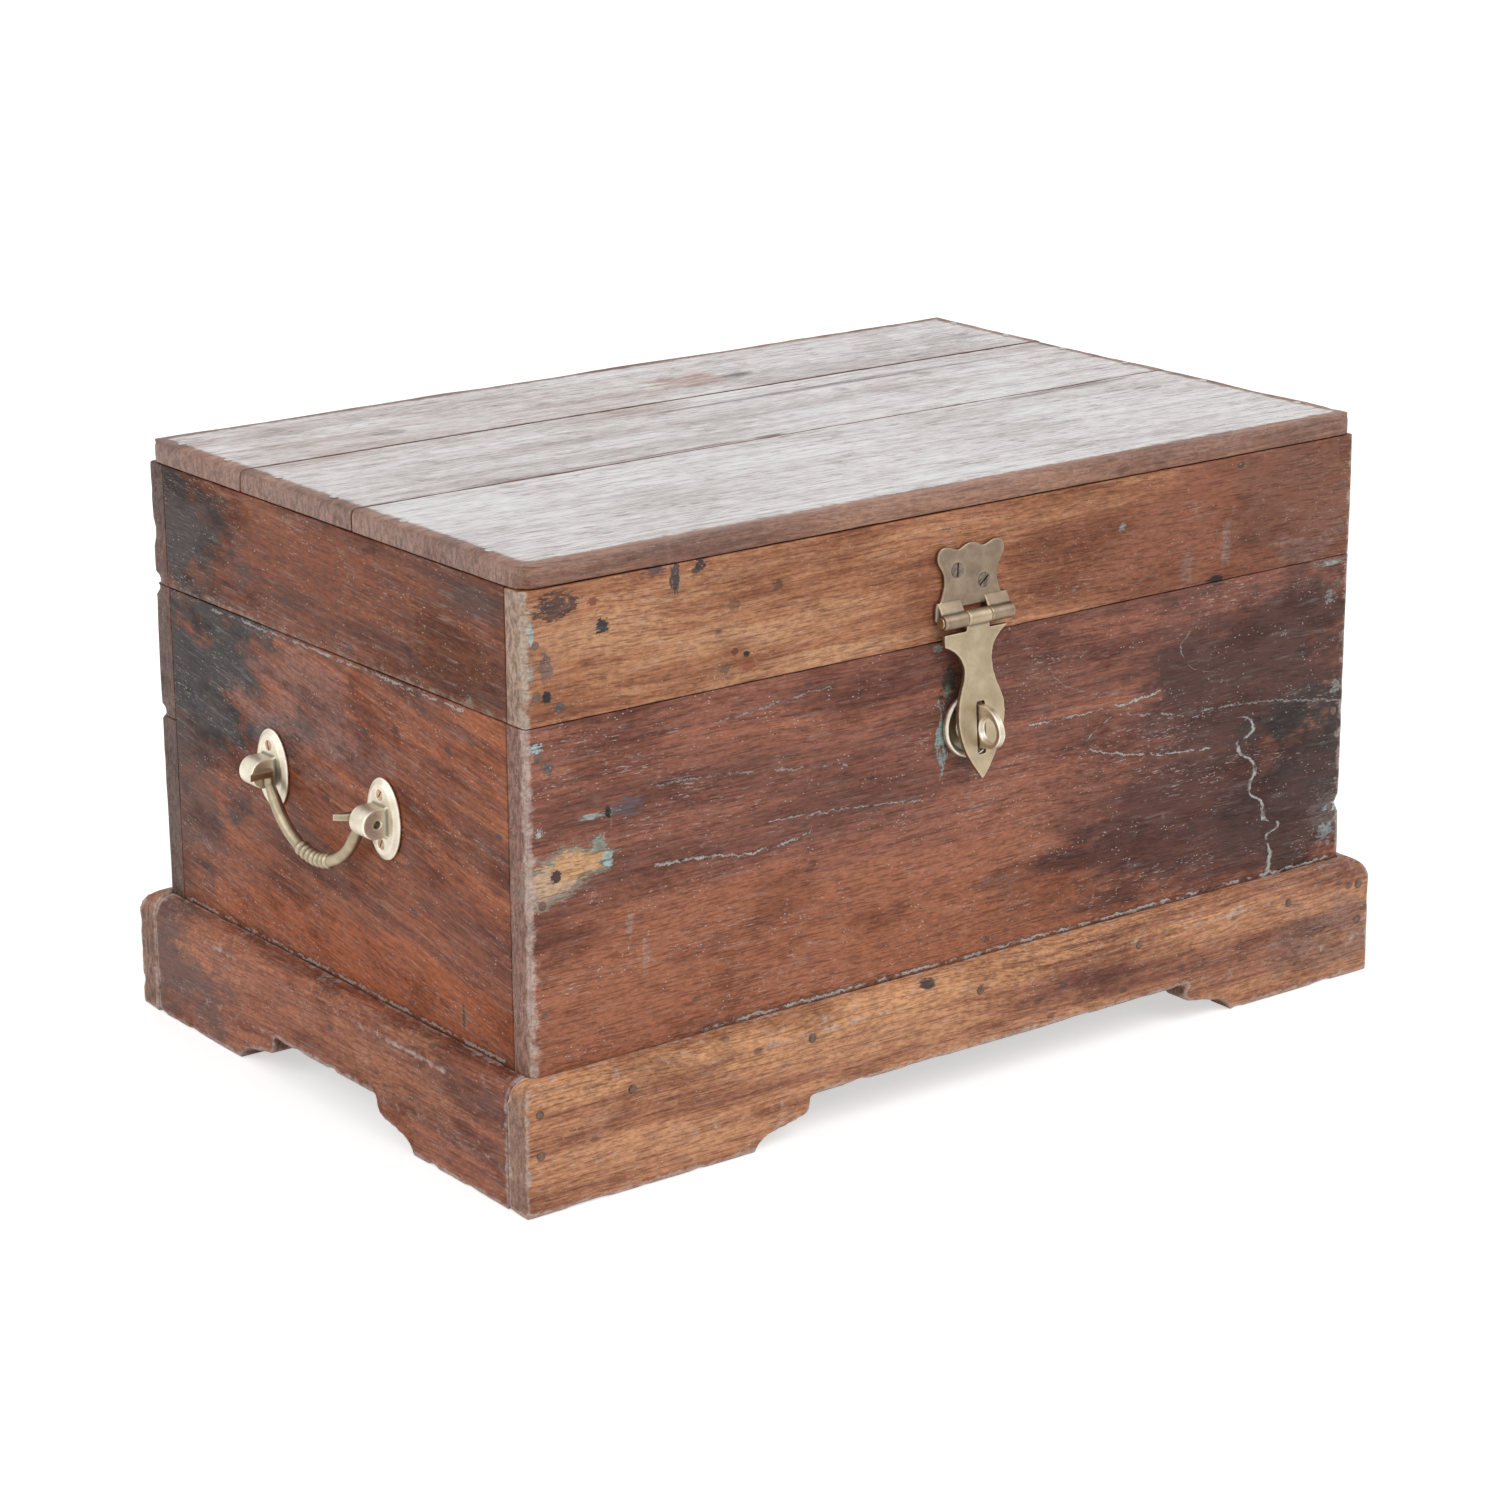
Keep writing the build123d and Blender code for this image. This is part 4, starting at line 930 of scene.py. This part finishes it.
def brass(name, bright, dull, roughness, green=0.6):
    """Aged cast brass: dull in its hollows, rubbed bright on its edges, green where damp stayed."""
    material, tree = new_material(name)
    place = add(tree, "TexCoord").outputs["Object"]
    cloud = noise(place, (90, 90, 90), 5.0, 0.6)
    grit = noise(place, (900, 900, 900), 3.0, 0.6)
    rubbed = times(attribute(tree, "edge"), 0.9)
    tone = plus(above(cloud, 0.25, 0.85), rubbed, clamp=True)
    colour = blend(tone, dull, bright)
    colour = blend(times(above(grit, 0.6, 0.75), 0.35), colour, (0.12, 0.09, 0.06))
    hollow = attribute(tree, "hollow")
    dirt = above(plus(hollow, times(cloud, 0.3)), 0.2, 0.75, 0.85)
    colour = blend(dirt, colour, (0.13, 0.095, 0.06))
    damp = above(plus(hollow, minus(cloud, 0.5)), 0.3, 0.55, green)
    colour = blend(damp, colour, blend(grit, (0.06, 0.2, 0.19), (0.36, 0.56, 0.52)))
    metal = minus(1.0, damp)
    rough = plus(times(damp, 0.4), times(grit, 0.2))
    rough = plus(rough, roughness, clamp=True)
    dents = plus(grit, times(cloud, 2.0))
    skin_normal = add(tree, "Bump", (), {"Strength": 0.35, "Distance": 0.00015, "Height": dents}).outputs[0]
    inputs = {"Base Color": colour, "Metallic": metal, "Roughness": rough, "Normal": skin_normal}
    return finished(material, inputs)


pale_brass = brass("pale aged brass", (0.9, 0.83, 0.69), (0.6, 0.54, 0.43), 0.36, 0.2)
khaki_brass = brass("khaki aged brass", (0.5, 0.42, 0.29), (0.27, 0.215, 0.14), 0.32, 0.1)
strap_brass = brass("yellow aged brass", (0.5, 0.405, 0.28), (0.33, 0.26, 0.17), 0.3, 0.5)
staple_brass = brass("green aged brass", (0.85, 0.76, 0.64), (0.42, 0.35, 0.26), 0.3, 1.0)
brown_brass = brass("brown aged brass", (0.34, 0.26, 0.185), (0.17, 0.125, 0.09), 0.3)
castings = {
    "hasp_plate": (brown_brass, 0.4, 3),
    "hasp_strap": (strap_brass, 0.4, 3),
    "staple": (staple_brass, 0.4, 2),
    "hasp_pin": (strap_brass, 0.3, 2),
}
for side in ("left", "right"):
    castings[f"{side}_handle_front_plate"] = castings[f"{side}_handle_rear_plate"] = (pale_brass, 0.42, 4)
    castings[f"{side}_handle_bail"] = (khaki_brass, 0.34, 1)
for number, (node, (material, voxel, smoothing)) in enumerate(castings.items()):
    points, normals, faces, pairs = even_copy(node, voxel, smoothing)
    bend = standing_out(points, normals, pairs, 1.2, 2)
    points = points + normals * (0.07 * lumps(points, 6, 300 + number))[:, None]
    marks = {"edge": np.clip(bend, 0, 1), "hollow": np.clip(-bend, 0, 1)}
    stand_for(make_piece("cast_" + node, points, faces, material, marks), node)

# ------------------------------------------------------------------ screws and hinges
# Slotted screws hold the brass, coppery at the handles and dark in the hasp. The lid turns on two
# plain stop hinges let into the back, and the staple's end is riveted over a round rove inside.


def plain_metal(name, bright, dull, roughness, metallic=1.0):
    """Small hardware: two tones in fine clouds, a little pitted."""
    material, tree = new_material(name)
    place = add(tree, "TexCoord").outputs["Object"]
    cloud = noise(place, (400, 400, 400), 5.0, 0.65)
    colour = blend(above(cloud, 0.35, 0.65), dull, bright)
    rough = plus(times(cloud, 0.3), roughness)
    pits = add(tree, "Bump", (), {"Strength": 0.5, "Distance": 0.0002, "Height": cloud}).outputs[0]
    inputs = {"Base Color": colour, "Metallic": metallic, "Roughness": rough, "Normal": pits}
    return finished(material, inputs)


coppery = plain_metal("coppery screw heads", (0.66, 0.46, 0.33), (0.4, 0.26, 0.18), 0.3)
dark_screw = plain_metal("dark screw heads", (0.24, 0.19, 0.15), (0.1, 0.08, 0.065), 0.35)
hinge_metal = plain_metal("dull hinge brass", (0.46, 0.36, 0.2), (0.25, 0.18, 0.1), 0.35)
for name, node in nodes.items():
    if "hinge" in name:
        finish = hinge_metal
    elif name == "hasp_screws":
        finish = dark_screw
    elif "screws" in name:
        finish = coppery
    elif name == "staple_rove":
        finish = brown_brass
    else:
        continue
    paint(node, finish)

# ------------------------------------------------------------------ nails
# Hand-cut iron nails through every butt joint. Their heads have rusted brown and sunk level
# with the wood, and those in the lid's top are filled with wax and dust and coloured as pale as
# the planks round them, which is partly a painted reflection of white light.

nail_sockets = {
    "Spots": "Geometry", "Head Radius": "Float", "Head Thickness": "Float", "Shank Radius": "Float",
    "Length": "Float", "Seed": "Int", "Finish": "Material",
}
driven, given, made = new_group("driven nails", nail_sockets, {"Nails": "Geometry"}, "Geometry")
given = given.outputs


def step(kind, inputs=(), settings=()):
    """The outputs of a new node of the nails."""
    return add(driven, kind, settings, inputs).outputs


def cone(sides, radius, taper, height):
    """A cone that narrows to a share of its radius."""
    ends = {"Radius Top": times(radius, taper), "Radius Bottom": radius}
    return step("GeometryNodeMeshCone", {"Vertices": sides, **ends, "Depth": height})["Mesh"]


cap = cone(14, given["Head Radius"], 0.72, given["Head Thickness"])
shaft = cone(8, given["Shank Radius"], 0.4, given["Length"])
shaft = step("GeometryNodeTransform", {"Geometry": shaft, "Rotation": (math.pi, 0, 0)})[0]
nail = driven.nodes.new("GeometryNodeJoinGeometry")
driven.links.new(cap, nail.inputs[0])
driven.links.new(shaft, nail.inputs[0])
outward = step("GeometryNodeInputNamedAttribute", {"Name": "outward"}, {"data_type": "FLOAT_VECTOR"})[0]
stand = step("FunctionNodeAlignRotationToVector", {"Vector": outward})[0]
seed = given["Seed"]
spin = step("FunctionNodeRandomValue", {2: 0.0, 3: 6.28, "Seed": seed}, {"data_type": "FLOAT"})[1]
spin = step("CombineXYZ", {2: spin})[0]
turned = step("FunctionNodeRotateRotation", {0: stand, 1: spin}, {"rotation_space": "LOCAL"})[0]
size = step("FunctionNodeRandomValue", {2: 0.85, 3: 1.1, "Seed": seed}, {"data_type": "FLOAT"})[1]
size = step("CombineXYZ", {0: size, 1: size, 2: 1.0})[0]
placed = {"Points": given["Spots"], "Instance": nail.outputs[0], "Rotation": turned, "Scale": size}
placed = step("GeometryNodeInstanceOnPoints", placed)[0]
solid = step("GeometryNodeRealizeInstances", {0: placed})[0]
solid = step("GeometryNodeSetMaterial", {"Geometry": solid, "Material": given["Finish"]})[0]
driven.links.new(solid, made.inputs[0])


chest_middle = (Vector(cad_box[0]) + Vector(cad_box[1])) / 2


def nail_spots(node):
    """Where each nail's head is and which way it faces, in an order that never varies, and their length."""
    shells = bmesh.new()
    shells.from_mesh(nodes[node].data)
    bmesh.ops.remove_doubles(shells, verts=shells.verts, dist=0.01 * mm)
    waiting = dict.fromkeys(shells.verts)
    heads, ways = [], []
    while waiting:
        shell = [waiting.popitem()[0]]
        for vertex in shell:
            for edge in vertex.link_edges:
                beside = edge.other_vert(vertex)
                if beside in waiting:
                    del waiting[beside]
                    shell.append(beside)
        corners = np.array([vertex.co for vertex in shell])
        low, high = corners.min(0), corners.max(0)
        axis = int(np.argmax(high - low))
        way = np.zeros(3)
        way[axis] = 1 if (low + high)[axis] / 2 > chest_middle[axis] else -1
        heads.append((low + high) / 2 + way * (high - low)[axis] / 2)
        ways.append(way)
        length = (high - low)[axis]
    shells.free()
    return heads, ways, length


rust = plain_metal("rusted iron", (0.23, 0.135, 0.1), (0.1, 0.055, 0.045), 0.55, 0.0)
# Pale grey heads on the top: wax and dust, and partly a painted reflection of white light like the planks.
wax_and_glare = plain_metal("dusty wax", (0.66, 0.63, 0.62), (0.52, 0.48, 0.47), 0.5, 0.0)
sunk = 0.25 * mm
short_of_cad = 2 * mm
for number, node in enumerate(name for name in nodes if name.endswith("nails")):
    heads, ways, length = nail_spots(node)
    spots = bpy.data.meshes.new(node + " spots")
    spots.from_pydata([tuple(head - way * sunk) for head, way in zip(heads, ways)], [], [])
    outward = spots.attributes.new("outward", "FLOAT_VECTOR", "POINT")
    outward.data.foreach_set("vector", np.concatenate(ways).astype(np.float32))
    holder = bpy.data.objects.new(node + " spots", spots)
    scene.collection.objects.link(holder)
    hammer = holder.modifiers.new("driven nails", "NODES")
    hammer.node_group = driven
    sizes = {
        "Head Radius": 2.2 * mm, "Head Thickness": 0.3 * mm, "Shank Radius": 1.1 * mm,
        "Length": length - short_of_cad, "Seed": number, "Finish": wax_and_glare if node == "top_nails" else rust,
    }
    for socket in driven.interface.items_tree:
        if socket.name in sizes:
            hammer[socket.identifier] = sizes[socket.name]
    mesh = bpy.data.meshes.new_from_object(holder.evaluated_get(bpy.context.evaluated_depsgraph_get()))
    mesh.name = "driven_" + node
    bpy.data.objects.remove(holder)
    nails = bpy.data.objects.new("driven_" + node, mesh)
    scene.collection.objects.link(nails)
    stand_for(nails, node)
